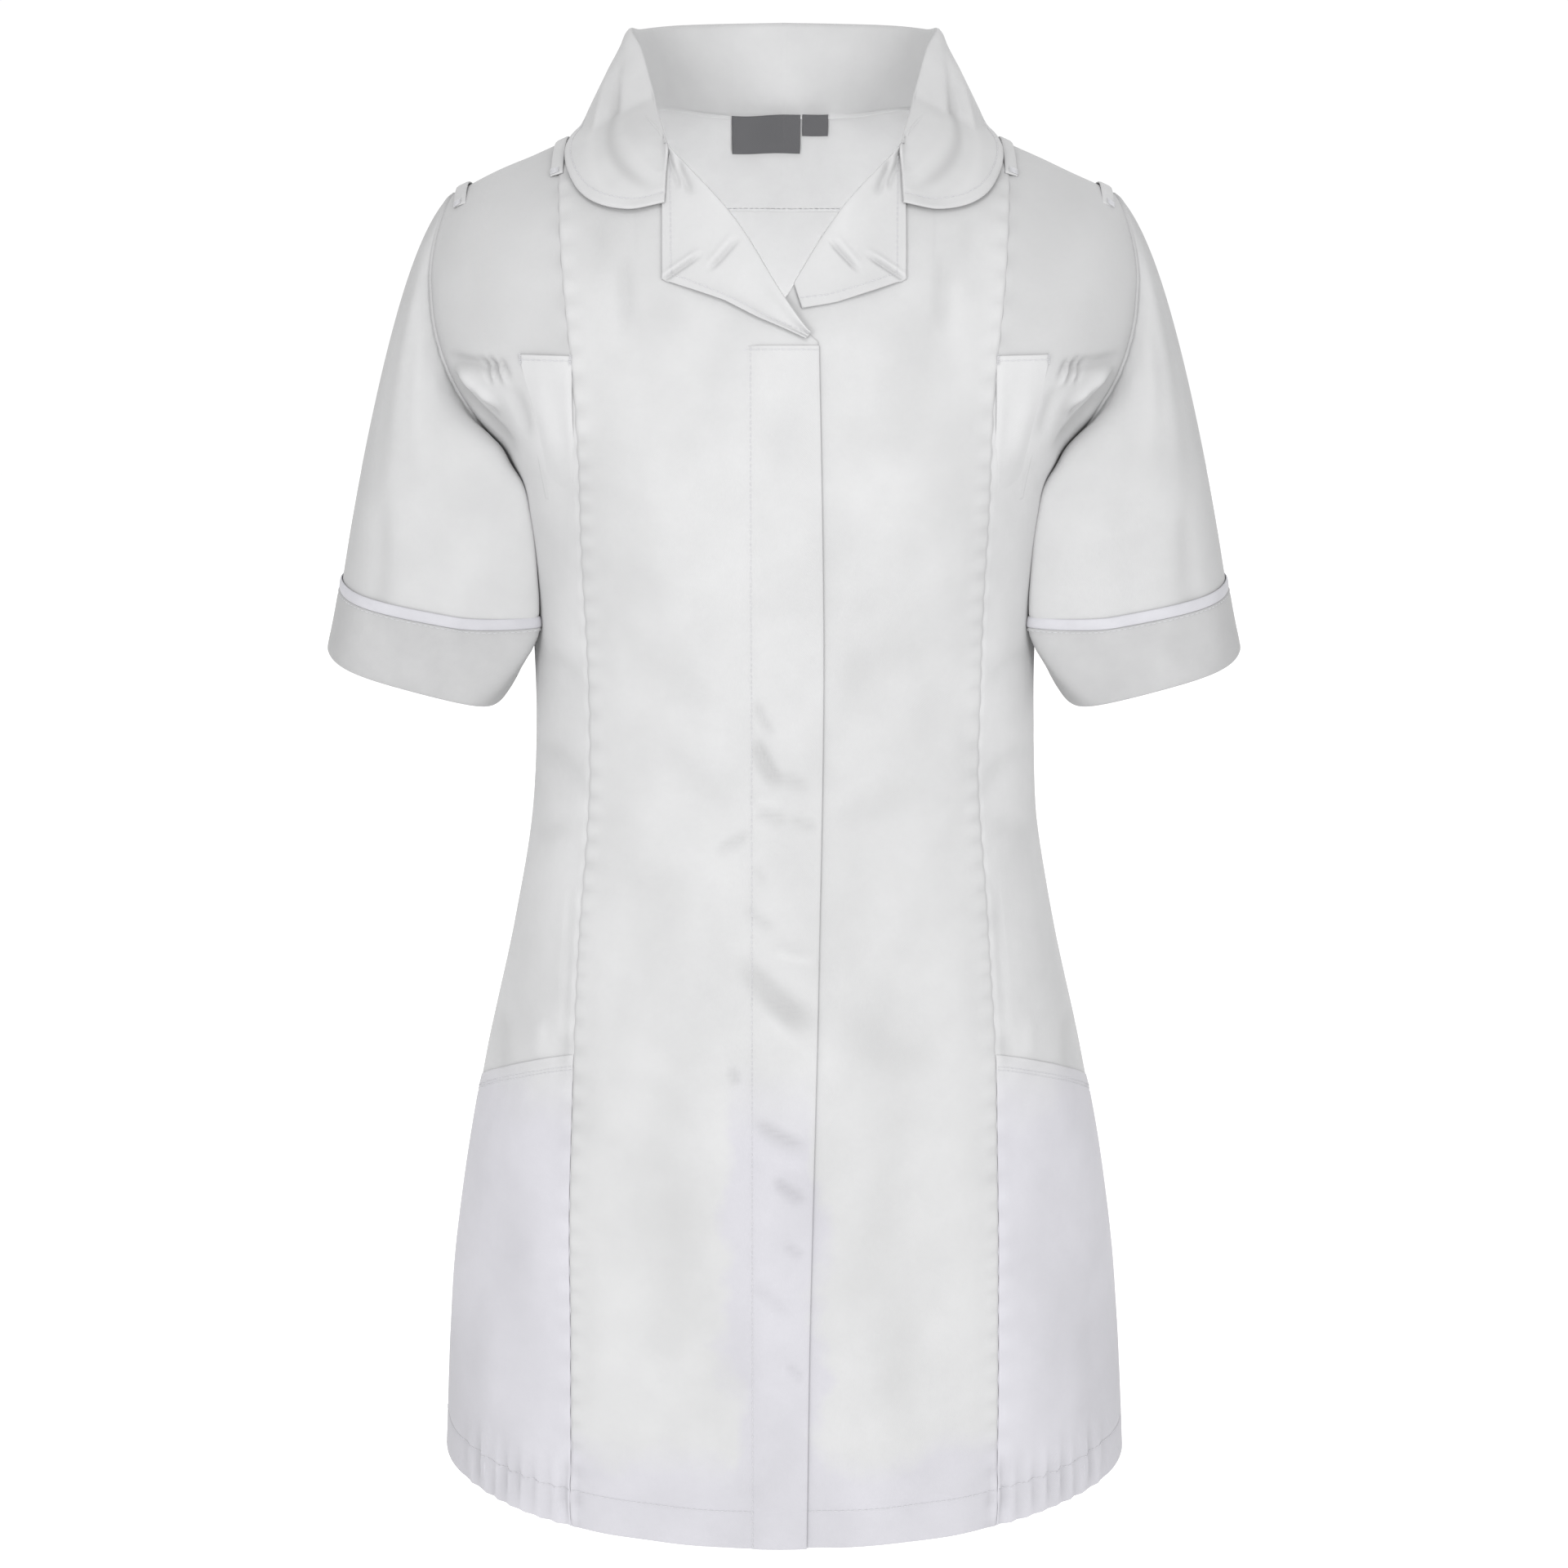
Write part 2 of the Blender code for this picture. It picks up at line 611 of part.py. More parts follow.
def make_closure():
    lower = rows_below_arm()
    level = np.concatenate([lower, np.linspace(UNDERARM, PLACKET_TOP, 7)[1:]])[:, None]
    seam = read(PRINCESS, "x", level[:, 0])
    edge = -read(LAP_EDGE, "x", level[:, 0]) / seam
    u = np.stack([edge, 0 * edge, STITCH_X / seam], -1)
    points = mirrored(moved_out(FRONT, u, level, np.full(u.shape, LAY + WALL)), -1)
    cloth("placket", facing_out(points, -1, FRONT), WHITE)
    tape = level[(level[:, 0] < ZIP_TOP) & (level[:, 0] > ZIP_END)]
    half = ZIP_WIDTH / 2 / read(PRINCESS, "x", tape[:, 0])
    u = np.stack([-half, 0 * half, half], -1)
    points = moved_out(FRONT, u, tape, np.full(u.shape, -WALL - GAP - 0.1))
    cloth("front_zip", facing_out(points, 1, FRONT), TAPE_WHITE)


def make_pockets():
    pen_x = np.array([105.5, 112, 119, 126, 131])
    pen_end = np.array([105.5, 109, 113, 117.5, 121])
    down = np.linspace(0, 1, 6)[::-1, None]
    x = pen_x + (pen_end - pen_x) * down
    z = PEN_POCKET_TOP + (PEN_POCKET_END - PEN_POCKET_TOP) * down
    u, level = place_at(FRONT, x, np.broadcast_to(z, x.shape))
    pen = moved_out(FRONT, u, level, np.full(u.shape, LAY + WALL + 0.2))
    u = np.linspace(1.012, 1.988, 7)[None]
    mouth = HIP_MOUTH_FRONT + (HIP_MOUTH_SIDE - HIP_MOUTH_FRONT) * (u - 1)
    whole_rows = rows_below_arm()[:7]
    rows = [np.broadcast_to(z, u.shape) for z in whole_rows]
    rows += [whole_rows[-1] + (mouth - whole_rows[-1]) * share for share in (0.5, 1)]
    level = np.vstack(rows)
    u = np.broadcast_to(u, level.shape)
    hip = moved_out(FRONT, u, level, np.full(u.shape, LAY + WALL))
    for label, side in SIDES.items():
        cloth(f"pen_pocket_{label}", facing_out(mirrored(pen, side), side, FRONT), SIDE_WHITE)
        cloth(f"hip_pocket_{label}", facing_out(mirrored(hip, side), side, FRONT), SIDE_WHITE)


def make_facing_and_labels():
    u, level = (part[-1 - FACING_ROWS :, 2:-2] for part in back_grid())
    points = drawn_in(moved_out(BACK, u, level, np.full(u.shape, -WALL - LAY)), ("top",))
    cloth("back_neck_facing", facing_out(points, 1, BACK), WHITE)
    for name, left, right, end in (("neck_label", -28.6, 9.0, 5.2), ("size_label", 10.4, 24.0, 14.2)):
        x = np.linspace(left, right, 5)[None]
        z = np.linspace(end, 25.4, 4)[:, None]
        u, level = place_at(BACK, x, z)
        points = moved_out(BACK, u, level, np.full(u.shape, -2 * WALL - 2 * LAY - 0.5))
        cloth(name, facing_out(points, 1, BACK), LABEL_GREY, wall=1.0)


def make_shoulder_loops():
    """Straps that run over the shoulder seam, from the front to the back."""
    fronts = np.array([-3, 8, 18, 27, SHOULDER - 0.01])
    backs = fronts[-2::-1][:3]
    arch = np.sin(np.linspace(0, np.pi, len(fronts) + len(backs)))
    for name, middle, rise in LOOPS:
        x = middle + LOOP_WIDTH * np.array([-0.5, 0, 0.5])
        rows = []
        for k, (face, level) in enumerate([(FRONT, v) for v in fronts] + [(BACK, v) for v in backs]):
            level = np.full(x.shape, level)
            out = np.full(x.shape, LAY + WALL + rise * arch[k])
            rows.append(moved_out(face, column_at(face, x, level), level, out))
        points = np.stack(rows)
        for label, side in SIDES.items():
            strap = mirrored(points, side)
            cloth(f"shoulder_loop_{name}_{label}", facing_out(strap, side, FRONT), TRIM_WHITE)


def clear_scene():
    for obj in list(bpy.data.objects):
        bpy.data.objects.remove(obj)


clear_scene()
tunic = bpy.data.collections.new("work_tunic")
bpy.context.scene.collection.children.link(tunic)
make_fronts()
make_back()
make_side_panels()
make_sleeves()
make_collar()
make_lapels()
make_closure()
make_pockets()
make_facing_and_labels()
make_shoulder_loops()
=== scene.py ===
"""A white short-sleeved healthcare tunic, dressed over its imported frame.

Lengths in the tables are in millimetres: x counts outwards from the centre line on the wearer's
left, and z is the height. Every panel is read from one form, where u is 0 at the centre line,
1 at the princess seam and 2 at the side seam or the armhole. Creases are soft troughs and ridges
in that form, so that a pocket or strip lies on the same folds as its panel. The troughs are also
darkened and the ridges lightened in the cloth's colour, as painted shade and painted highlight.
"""

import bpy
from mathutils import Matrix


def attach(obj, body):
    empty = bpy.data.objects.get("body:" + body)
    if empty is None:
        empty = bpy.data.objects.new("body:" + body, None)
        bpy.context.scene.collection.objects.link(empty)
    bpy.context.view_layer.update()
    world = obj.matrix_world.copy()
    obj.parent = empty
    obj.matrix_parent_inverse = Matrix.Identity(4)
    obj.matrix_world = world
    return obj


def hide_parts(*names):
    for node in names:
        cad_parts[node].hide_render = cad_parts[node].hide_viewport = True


bl_info = {
    "name": "Work tunic",
    "version": (1, 0, 0),
    "blender": (4, 5, 0),
    "location": "3D View > Sidebar > Tunic",
    "description": "Cuts, sews and lights a white healthcare tunic",
    "category": "Add Mesh",
}

from collections import namedtuple

import bpy
import numpy as np
from mathutils import Vector
from mathutils.kdtree import KDTree

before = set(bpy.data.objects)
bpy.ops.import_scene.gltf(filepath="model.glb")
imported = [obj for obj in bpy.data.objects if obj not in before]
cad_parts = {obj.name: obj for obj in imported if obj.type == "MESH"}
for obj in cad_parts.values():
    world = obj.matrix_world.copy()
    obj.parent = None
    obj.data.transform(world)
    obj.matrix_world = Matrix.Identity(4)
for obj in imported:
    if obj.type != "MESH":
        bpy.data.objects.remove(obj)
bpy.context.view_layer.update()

MM = 0.001
FRONT, BACK = -1, 1
SIDES = {"right": -1, "left": 1}
GAP = 0.3

# Places inside the tunic, from which faces are turned outwards
INSIDE = (0, 0, -300)
NECK_MIDDLE = (0, 0, -60)
SLEEVE_MIDDLE = {"right": (-186.0, 0, -220), "left": (186.0, 0, -220)}
SHOULDER_MIDDLE = {"right": (-130, 0, -60), "left": (130, 0, -60)}
FAR = 1e5


def table(columns, *rows):
    """Rows whose columns are read by name."""
    kind = namedtuple("Row", columns)
    return tuple(kind(*row) for row in rows)


# Heights of the form
HEM = -711.0
UNDERARM = -158.0
CHEST = -64.0
SHOULDER = 36.0

# Shoulder seam, straight from the neck to the tip
NECK_X, NECK_Z = 78.0, 26.4
TIP_X = 171.0
SHOULDER_FALL = 0.46
SHOULDER_PRINCESS_X = 116.0
SHOULDER_ROUND, SHOULDER_LEAN, CHEST_LEAN = 0.56, 0.25, 0.42

# Closure: the right front laps over the left one
STITCH_X = 17.5
LAP_X = 14.0
LAP_DEPTH = 1.1
STEP_FROM, STEP_TO = 19.0, 31.0
PLACKET_TOP = -88.5
ZIP_WIDTH, ZIP_TOP, ZIP_END = 18.0, -98.0, -690.0

# Pieces laid on the panels
PEN_POCKET_TOP, PEN_POCKET_END = -94.5, -168.0
PEN_POCKET_X, PEN_POCKET_WIDTHS = 105.0, (26.5, 16.0)
HIP_MOUTH_FRONT, HIP_MOUTH_SIDE = -457.0, -497.0
SIDE_WIDTH = 75.0
BACK_SEAM_X = 106
FACING_END = -28.0
LABEL_TOP = 25.0
LOOP_WIDTH = 6.0
LOOPS = table("name x rise", ("inner", 114.4, 0.4), ("outer", 166.0, 1.2))

# Sleeve end
SLEEVE_SQUARE, SLEEVE_CORNER = 2.5, 0.8
PIPING_WIDTH = 6.0
CUFF_DEPTH, CUFF_PROUD = 36, 0.9
CUFF_BOW_INNER, CUFF_BOW_OUTER = 4.5, 3.0
SLEEVE_TO_BODY = 1.7


RINGS = table(
    "z half_width front back square",
    (HEM, 191.0, 143, 139, 2.0),
    (-640, 187.0, 139, 138, 2.05),
    (-551, 177.0, 132, 136, 2.15),
    (-478, 163.5, 125, 132, 2.15),
    (-407, 147.5, 116, 121, 2.15),
    (-345, 136.6, 110, 106, 2.15),
    (-288, 133.6, 108, 98, 2.15),
    (-240, 134.8, 112, 98, 2.18),
    (-205, 136.8, 118, 101, 2.2),
    (-180, 139.2, 122, 105, 2.25),
    (UNDERARM, 143.5, 123, 108, 2.3),
    (-145, 152.0, 123, 110, 2.3),
    (-126.5, 168.0, 121, 112, 2.3),
    (-106, 181.0, 118, 114, 2.3),
    (-85, 187.5, 114, 114, 2.3),
    (CHEST, 188.5, 108, 113, 2.3),
)

PRINCESS = table(
    "z x",
    (HEM, 113.0),
    (-600, 112.5),
    (-480, 111.0),
    (-390, 106.5),
    (-310, 101.0),
    (-250, 101.0),
    (-180, 103.0),
    (-115, 104.0),
    (CHEST, 109.0),
)

ARMHOLE = table(
    "z x",
    (UNDERARM, 143.5),
    (-145, 149.5),
    (-126.5, 161.0),
    (-115, 168.0),
    (-93, 176.5),
    (-78, 179.8),
    (CHEST, 181.0),
)

# The front's upper edge: the roll line from the closure to the collar, then the neck seam.
NECK_EDGE = "x z"
FRONT_NECK = table(
    NECK_EDGE,
    (-20.0, -89.0),
    (-14.0, -84.5),
    (0.0, -66.5),
    (19.6, -35.5),
    (57.0, 4.7),
    (NECK_X, NECK_Z),
)
BACK_NECK = table(
    NECK_EDGE,
    (-1.0, 23.6),
    (40.0, 24.3),
    (68.0, 27.6),
    (NECK_X, NECK_Z),
)
COLLAR_FRONT_X = 57.0
SEAM_RISE_FRONT, SEAM_RISE_BACK, SEAM_IN = 2.0, -1.4, 1.05

# The closure's edge, which wanders a little towards the hem.
LAP_EDGE = table(
    "z x",
    (HEM, 11.2),
    (-609, 12.4),
    (-478, 15.5),
    (-388, 17.5),
    (-262, 19.2),
    (-88, 16.5),
)

# Each row is a section across the collar, from its front end to the centre of the back.
# along is the share of the neck seam, and the places are on the fold and the leaf's edge.
COLLAR = table(
    "along fold_x fold_y fold_z leaf_x leaf_y leaf_z",
    (0.00, 58.4, -69, 8.5, 59.4, -90, -19.4),
    (0.10, 59.2, -54, 13, 77, -87, -22.5),
    (0.19, 62.2, -33, 22, 93, -77, -21),
    (0.30, 68.0, -13, 41.0, 104.0, -58, -13.5),
    (0.38, 73.2, 2, 57, 108.0, -36, -1.5),
    (0.45, 78.2, 13, 65.2, 106.0, -10, 14.5),
    (0.60, 74.5, 40, 67.5, 103, 30, 13.0),
    (0.75, 57.5, 68, 70.5, 86, 63, 7),
    (0.88, 31.0, 82, 72, 49, 91, 2),
    (1.00, 0.0, 87, 72.8, 0, 101, 0),
)

# Each row joins a place on the roll line to one on the lapel's outer or lower edge.
LAPEL = "roll_x edge_x edge_z"
RIGHT_LAPEL = table(
    LAPEL,
    (56.0, 59.4, 0.5),
    (44.0, 59.4, -20.0),
    (31.0, 59.4, -39.0),
    (19.0, 59.4, -57.0),
    (9.0, 43.0, -62.5),
    (1.0, 28.5, -67.5),
    (-6.0, 12.5, -75.5),
    (-12.5, -10.5, -85.0),
)
LEFT_LAPEL = table(
    LAPEL,
    (56.0, 59.4, 0.5),
    (44.0, 59.4, -20.0),
    (31.0, 59.4, -39.0),
    (21.0, 59.4, -57.0),
    (15.0, 43.0, -62.5),
    (9.5, 26.0, -67.5),
    (5.0, 9.0, -70.5),
)

# Rings across the sleeve's end. tilt is in degrees, and down is the distance below the cuff seam.
SLEEVE_END = table(
    "down x z half_width half_depth tilt",
    (-PIPING_WIDTH, 184.5, -229.0, 51.3, 55.5, 11),
    (0, 185.5, -234.8, 51.3, 55.5, 11),
    (CUFF_DEPTH, 197.5, -270.5, 47.5, 54.0, 15.5),
)


(BUST,) = table("x z rise spread_x spread_z", (84, -172, 9, 42, 52))


def read(rows, column, at):
    """One column of a table as a smooth curve of its first column, read at the given places."""
    knots = np.array([row[0] for row in rows], float)
    values = np.array([getattr(row, column) for row in rows], float)
    k = np.clip(np.searchsorted(knots, at, side="right") - 1, 0, len(knots) - 2)
    width = knots[k + 1] - knots[k]
    t = np.clip((at - knots[k]) / width, 0, 1)
    return curve(values, np.gradient(values, knots), k, width, t)


def curve(values, slopes, k, width, t):
    """A smooth curve through values, at the share t of the way from row k to the next."""
    start = (2 * t**3 - 3 * t**2 + 1) * values[k] + (t**3 - 2 * t**2 + t) * width * slopes[k]
    end = (3 * t**2 - 2 * t**3) * values[k + 1] + (t**3 - t**2) * width * slopes[k + 1]
    return start + end


def ease(value, low, high):
    """0 below low, 1 above high, and a smooth rise between."""
    t = np.clip((value - low) / (high - low), 0, 1)
    return t * t * (3 - 2 * t)


def fade(value, low, high):
    """1 below low, 0 above high, and a smooth fall between."""
    return 1 - ease(value, low, high)


def bell(value, centre, width):
    """1 at the centre, falling away on both sides."""
    return np.exp(-(((value - centre) / width) ** 2))


def halve(low, high, is_under):
    """The place between low and high where is_under turns from true to false."""
    for _ in range(40):
        middle = (low + high) / 2
        under = is_under(middle)
        low, high = np.where(under, middle, low), np.where(under, high, middle)
    return (low + high) / 2


def run_along(line):
    """Distances along a line of points."""
    return np.concatenate([[0], np.cumsum(np.linalg.norm(np.diff(line, axis=0), axis=1))])


def closed_up(points, loop=True):
    return np.concatenate([points, points[:, :1]], 1) if loop else points


def bezier(p0, p1, p2, p3, t):
    return (1 - t) ** 3 * p0 + 3 * (1 - t) ** 2 * t * p1 + 3 * (1 - t) * t**2 * p2 + t**3 * p3


def unit(vectors):
    return vectors / np.maximum(np.linalg.norm(vectors, axis=-1, keepdims=True), 1e-9)


def ring_sizes(z):
    """Half width, power and outer edge of the level ring at height z."""
    half_width = read(RINGS, "half_width", z)
    edge = np.where(z <= UNDERARM, half_width, read(ARMHOLE, "x", z))
    return half_width, read(RINGS, "square", z) / 2, edge


def on_ring(face, u, z):
    """x and y on the level ring at height z."""
    half_width, power, edge = ring_sizes(z)
    depth = read(RINGS, "front" if face == FRONT else "back", z)
    seam = read(PRINCESS, "x", z)
    seam_angle = np.arcsin((seam / half_width) ** power)
    edge_angle = np.arcsin(np.clip(edge / half_width, 0, 1) ** power)
    out = np.abs(u)
    inner_angle = np.arcsin(np.clip(out * seam / half_width, 0, 1) ** power)
    angle = np.where(out <= 1, inner_angle, seam_angle + (out - 1) * (edge_angle - seam_angle))
    x = half_width * np.sin(angle) ** (1 / power)
    y = face * depth * np.clip(np.cos(angle), 0, 1) ** (1 / power)
    if face == FRONT:
        across = (x - BUST.x) / BUST.spread_x
        up = (z - BUST.z) / BUST.spread_z
        y = y - BUST.rise * np.exp(-(across**2) - up**2) * ease(-y, 0, 60)
    return np.sign(u) * x, y


def seam_height(x):
    return NECK_Z - SHOULDER_FALL * (np.abs(x) - NECK_X)


def form(face, u, level):
    """Points of the tunic's outer form on the wearer's left side, for arrays of u and level."""
    u, level = np.broadcast_arrays(np.asarray(u, float), np.asarray(level, float))
    low_x, low_y = on_ring(face, u, np.minimum(level, CHEST))
    chest_x, chest_y = on_ring(face, u, np.full(u.shape, CHEST))
    below_x, below_y = on_ring(face, u, np.full(u.shape, CHEST - 4))
    out = np.abs(u)
    beyond = SHOULDER_PRINCESS_X + (out - 1) * (TIP_X - SHOULDER_PRINCESS_X)
    top_x = np.sign(u) * np.where(out <= 1, out * SHOULDER_PRINCESS_X, beyond)
    top_z = seam_height(top_x)
    handle = CHEST_LEAN * (top_z - CHEST) / 4
    t = np.clip((level - CHEST) / (SHOULDER - CHEST), 0, 1)
    lean_x = chest_x + handle * (chest_x - below_x)
    lean_y = chest_y + handle * (chest_y - below_y)
    x = bezier(chest_x, lean_x, top_x + SHOULDER_LEAN * (chest_x - top_x), top_x, t)
    y = bezier(chest_y, lean_y, SHOULDER_ROUND * chest_y, 0, t)
    z = bezier(CHEST, CHEST + handle * 4, top_z, top_z, t)
    above = level > CHEST
    return np.stack([np.where(above, x, low_x), np.where(above, y, low_y), np.where(above, z, level)], -1)


def form_normal(face, u, level):
    """Outward directions of the form."""
    nudge_u = np.where(np.asarray(u) > 1.97, -0.02, 0.02)
    nudge_level = np.where(np.asarray(level) > SHOULDER - 3, -2.0, 2.0)
    here = form(face, u, level)
    across = (form(face, u + nudge_u, level) - here) * np.sign(nudge_u)[..., None]
    up = (form(face, u, level + nudge_level) - here) * np.sign(nudge_level)[..., None]
    return unit(np.cross(across, up)) * -face


def moved_out(face, u, level, distance):
    return form(face, u, level) + form_normal(face, u, level) * np.asarray(distance)[..., None]


def level_at(face, u, target):
    """The level at which the column u reaches a height, where target gives that height for each x."""

    def under(level):
        point = form(face, u, level)
        return point[..., 2] < target(point[..., 0])

    return halve(np.full(np.shape(u), HEM), np.full(np.shape(u), SHOULDER), under)


def place_at(face, x, z):
    """u and level of the point of the form at x and z, for x inside the princess seam or below CHEST."""
    x, z = np.broadcast_arrays(np.asarray(x, float), np.asarray(z, float))
    whole = np.ones(x.shape)

    def under(level):
        return form(face, x / form(face, whole, level)[..., 0], level)[..., 2] < z

    level = halve(np.full(x.shape, HEM), np.full(x.shape, SHOULDER), under)
    seam = form(face, whole, level)[..., 0]
    half_width, power, edge = ring_sizes(np.minimum(level, CHEST))
    angles = [np.arcsin(np.clip(v / half_width, 0, 1) ** power) for v in (np.abs(x), seam, edge)]
    outer = 1 + (angles[0] - angles[1]) / np.maximum(angles[2] - angles[1], 1e-6)
    return np.where(np.abs(x) <= seam, x / seam, np.sign(x) * outer), level


def column_at(face, x, level):
    """u of the point of the form at x, at each level."""
    return halve(np.zeros(x.shape), np.full(x.shape, 2.0), lambda u: form(face, u, level)[..., 0] < x)


def neck_height(edge, x):
    return np.where(x >= NECK_X, seam_height(x) + 1, read(edge, "z", x))


def front_neck_height(x):
    return neck_height(FRONT_NECK, x)


def back_neck_height(x):
    return neck_height(BACK_NECK, np.abs(x))


def mirrored(points, side):
    return points * np.array([side, 1, 1])


def lap_step(x):
    """How far the left front lies under the form, where the right front covers it."""
    return -LAP_DEPTH * fade(x, STEP_FROM, STEP_TO)


def ring_angles(ring):
    """Angles round the sleeve, by length: 0 at the shoulder tip and half a turn at the underarm."""
    half = (len(ring) + 2) // 2
    lengths = np.linalg.norm(np.diff(np.vstack([ring, ring[:1]]), axis=0), axis=1)
    front = np.concatenate([[0], np.cumsum(lengths[: half - 1])])
    back = np.cumsum(lengths[half - 1 :])[:-1]
    return np.concatenate([front / front[-1] * np.pi, np.pi + back / lengths[half - 1 :].sum() * np.pi])


def sleeve_ring(angle, down, proud=0.0):
    """A ring across the sleeve's end, down from the cuff seam by a distance and moved out by proud."""
    knots, *columns = zip(*SLEEVE_END)
    x, z, half_width, half_depth, tilt = (np.interp(down, knots, column) for column in columns)
    tilt = np.radians(tilt)
    outwards = np.array([np.cos(tilt), 0, np.sin(tilt)])
    forwards = np.array([0, -1, 0])
    cos, sin = np.cos(angle), np.sin(angle)
    corner = np.clip(-cos, 0, 1) * np.clip(sin, 0, 1) * 2
    power = 2 / (SLEEVE_SQUARE + SLEEVE_CORNER * corner)
    wide = np.sign(cos) * np.abs(cos) ** power * (half_width + proud)
    deep = np.sign(sin) * np.abs(sin) ** power * (half_depth + proud)
    ring = np.array([x, 0, z]) + outwards * wide[:, None] + forwards * deep[:, None]
    upper = 1 - np.clip(down, 0, CUFF_DEPTH) / CUFF_DEPTH
    ring[:, 2] += CUFF_BOW_INNER * upper * inner_share(angle) + CUFF_BOW_OUTER * np.clip(cos, 0, 1) ** 6
    return beside_body(ring, upper * inner_share(angle), proud)


def inner_share(angle):
    """How much each column of the sleeve belongs to its inner side, facing the body."""
    return ease(angle, 1.75, 2.4) * fade(angle, 3.75, 4.4)


def beside_body(points, share, proud):
    """Brings the sleeve's inner side close to the body by a share, layers that stand proud closest."""
    x, y, z = np.moveaxis(points, -1, 0)
    depth = np.where(y < 0, read(RINGS, "front", z), read(RINGS, "back", z))
    power = read(RINGS, "square", z)
    body = read(RINGS, "half_width", z) * np.clip(1 - np.abs(y / depth) ** power, 0, 1) ** (1 / power)
    worn = np.where(y < 0, relief(FRONT, body, z), relief(BACK, body, z)) * ease(np.abs(y), 4, 20)
    clear = body + SLEEVE_TO_BODY - proud + np.clip(worn, -1.0, 4.0)
    near = ease(-z, -UNDERARM - 1, -UNDERARM + 14)
    pulled = x + share * (clear - x)
    return np.stack([pulled + near * np.maximum(clear - pulled, 0), y, z], -1)


def neck_path(count=160):
    """The neck seam on the left half, from the collar's front end round to the centre back."""
    front_x, back_x = np.linspace(COLLAR_FRONT_X, NECK_X, count), np.linspace(NECK_X, 0, count)
    front = form(FRONT, *place_at(FRONT, front_x, front_neck_height(front_x - 1e-6)))
    back = form(BACK, *place_at(BACK, back_x, back_neck_height(back_x - 1e-6)))
    path = np.vstack([front, back[1:]])
    length = run_along(path)
    return path, length / length[-1]


def body_under_collar():
    """Points of the body round the neck in a search tree, with their outward directions."""
    level = np.linspace(-95, SHOULDER, 110)[:, None]
    places, directions = [], []
    for face in (FRONT, BACK):
        u = np.linspace(0, 1.7, 110)[None]
        places.append(form(face, u, level).reshape(-1, 3))
        directions.append(form_normal(face, *np.broadcast_arrays(u, level)).reshape(-1, 3))
    places, directions = np.concatenate(places), np.concatenate(directions)
    tree = KDTree(len(places))
    for number, place in enumerate(places):
        tree.insert(place, number)
    tree.balance()
    return tree, places, directions


def clear_of_body(points, clearance):
    """Eases the points that are nearer to the body than the clearance out along its normals."""
    tree, places, directions = body_under_collar()
    cleared = points.reshape(-1, 3).copy()
    for k, point in enumerate(cleared):
        near = [number for _, number, _ in tree.find_n(point, 6)]
        direction = unit(directions[near].mean(axis=0))
        short = clearance - (point - places[near].mean(axis=0)) @ direction
        cleared[k] = point + direction * (short + np.hypot(short, 0.8)) / 2
    return cleared.reshape(points.shape)


def collar_section(seam, fold, leaf):
    """Points from the neck seam up the stand, over the fold and down the leaf to its edge."""
    outwards = unit((leaf - fold) * np.array([1, 1, 0]))
    seam = seam - outwards * SEAM_IN + np.array([0, 0, SEAM_RISE_FRONT if seam[1] < 0 else SEAM_RISE_BACK])
    stand = [seam + (fold - seam) * share for share in (0, 0.5, 0.86)]
    over = [fold + outwards * 1.2 + np.array([0, 0, 0.4]), fold + outwards * 3.4 + np.array([0, 0, -1.2])]
    bulge = outwards * 0.01 * np.linalg.norm(leaf - fold)
    start = fold + outwards * 4 + np.array([0, 0, -3])
    hang = [start + (leaf - start) * share + bulge * 4 * share * (1 - share) for share in (0.12, 0.4, 0.7, 1)]
    return np.array(stand + over + hang)


# How far out from its panel's own face each layer of cloth lies, and how thick it is
Layer = namedtuple("Layer", "out thickness")
SINGLE = Layer(0.0, 0.55)
PLACKET = Layer(0.85, 0.7)
PEN_POCKET = Layer(0.95, 0.7)
HIP_POCKET = Layer(0.85, 0.6)
STRAP = Layer(1.2, 0.9)
FOLDED = Layer(0.0, 1.5)
PIPING = Layer(0.0, 0.7)
ZIP_TAPE = Layer(-0.72, 0.35)
FACING = Layer(-0.65, 0.35)
LABEL_TAPE = Layer(-2.0, 0.6)
HEM_TURN, HEM_DOUBLE = 20.0, 1.25

# Troughs have a negative depth and ridges a positive one. bend bows the line sideways.
CREASE = "x0 z0 x1 z1 bend width depth"

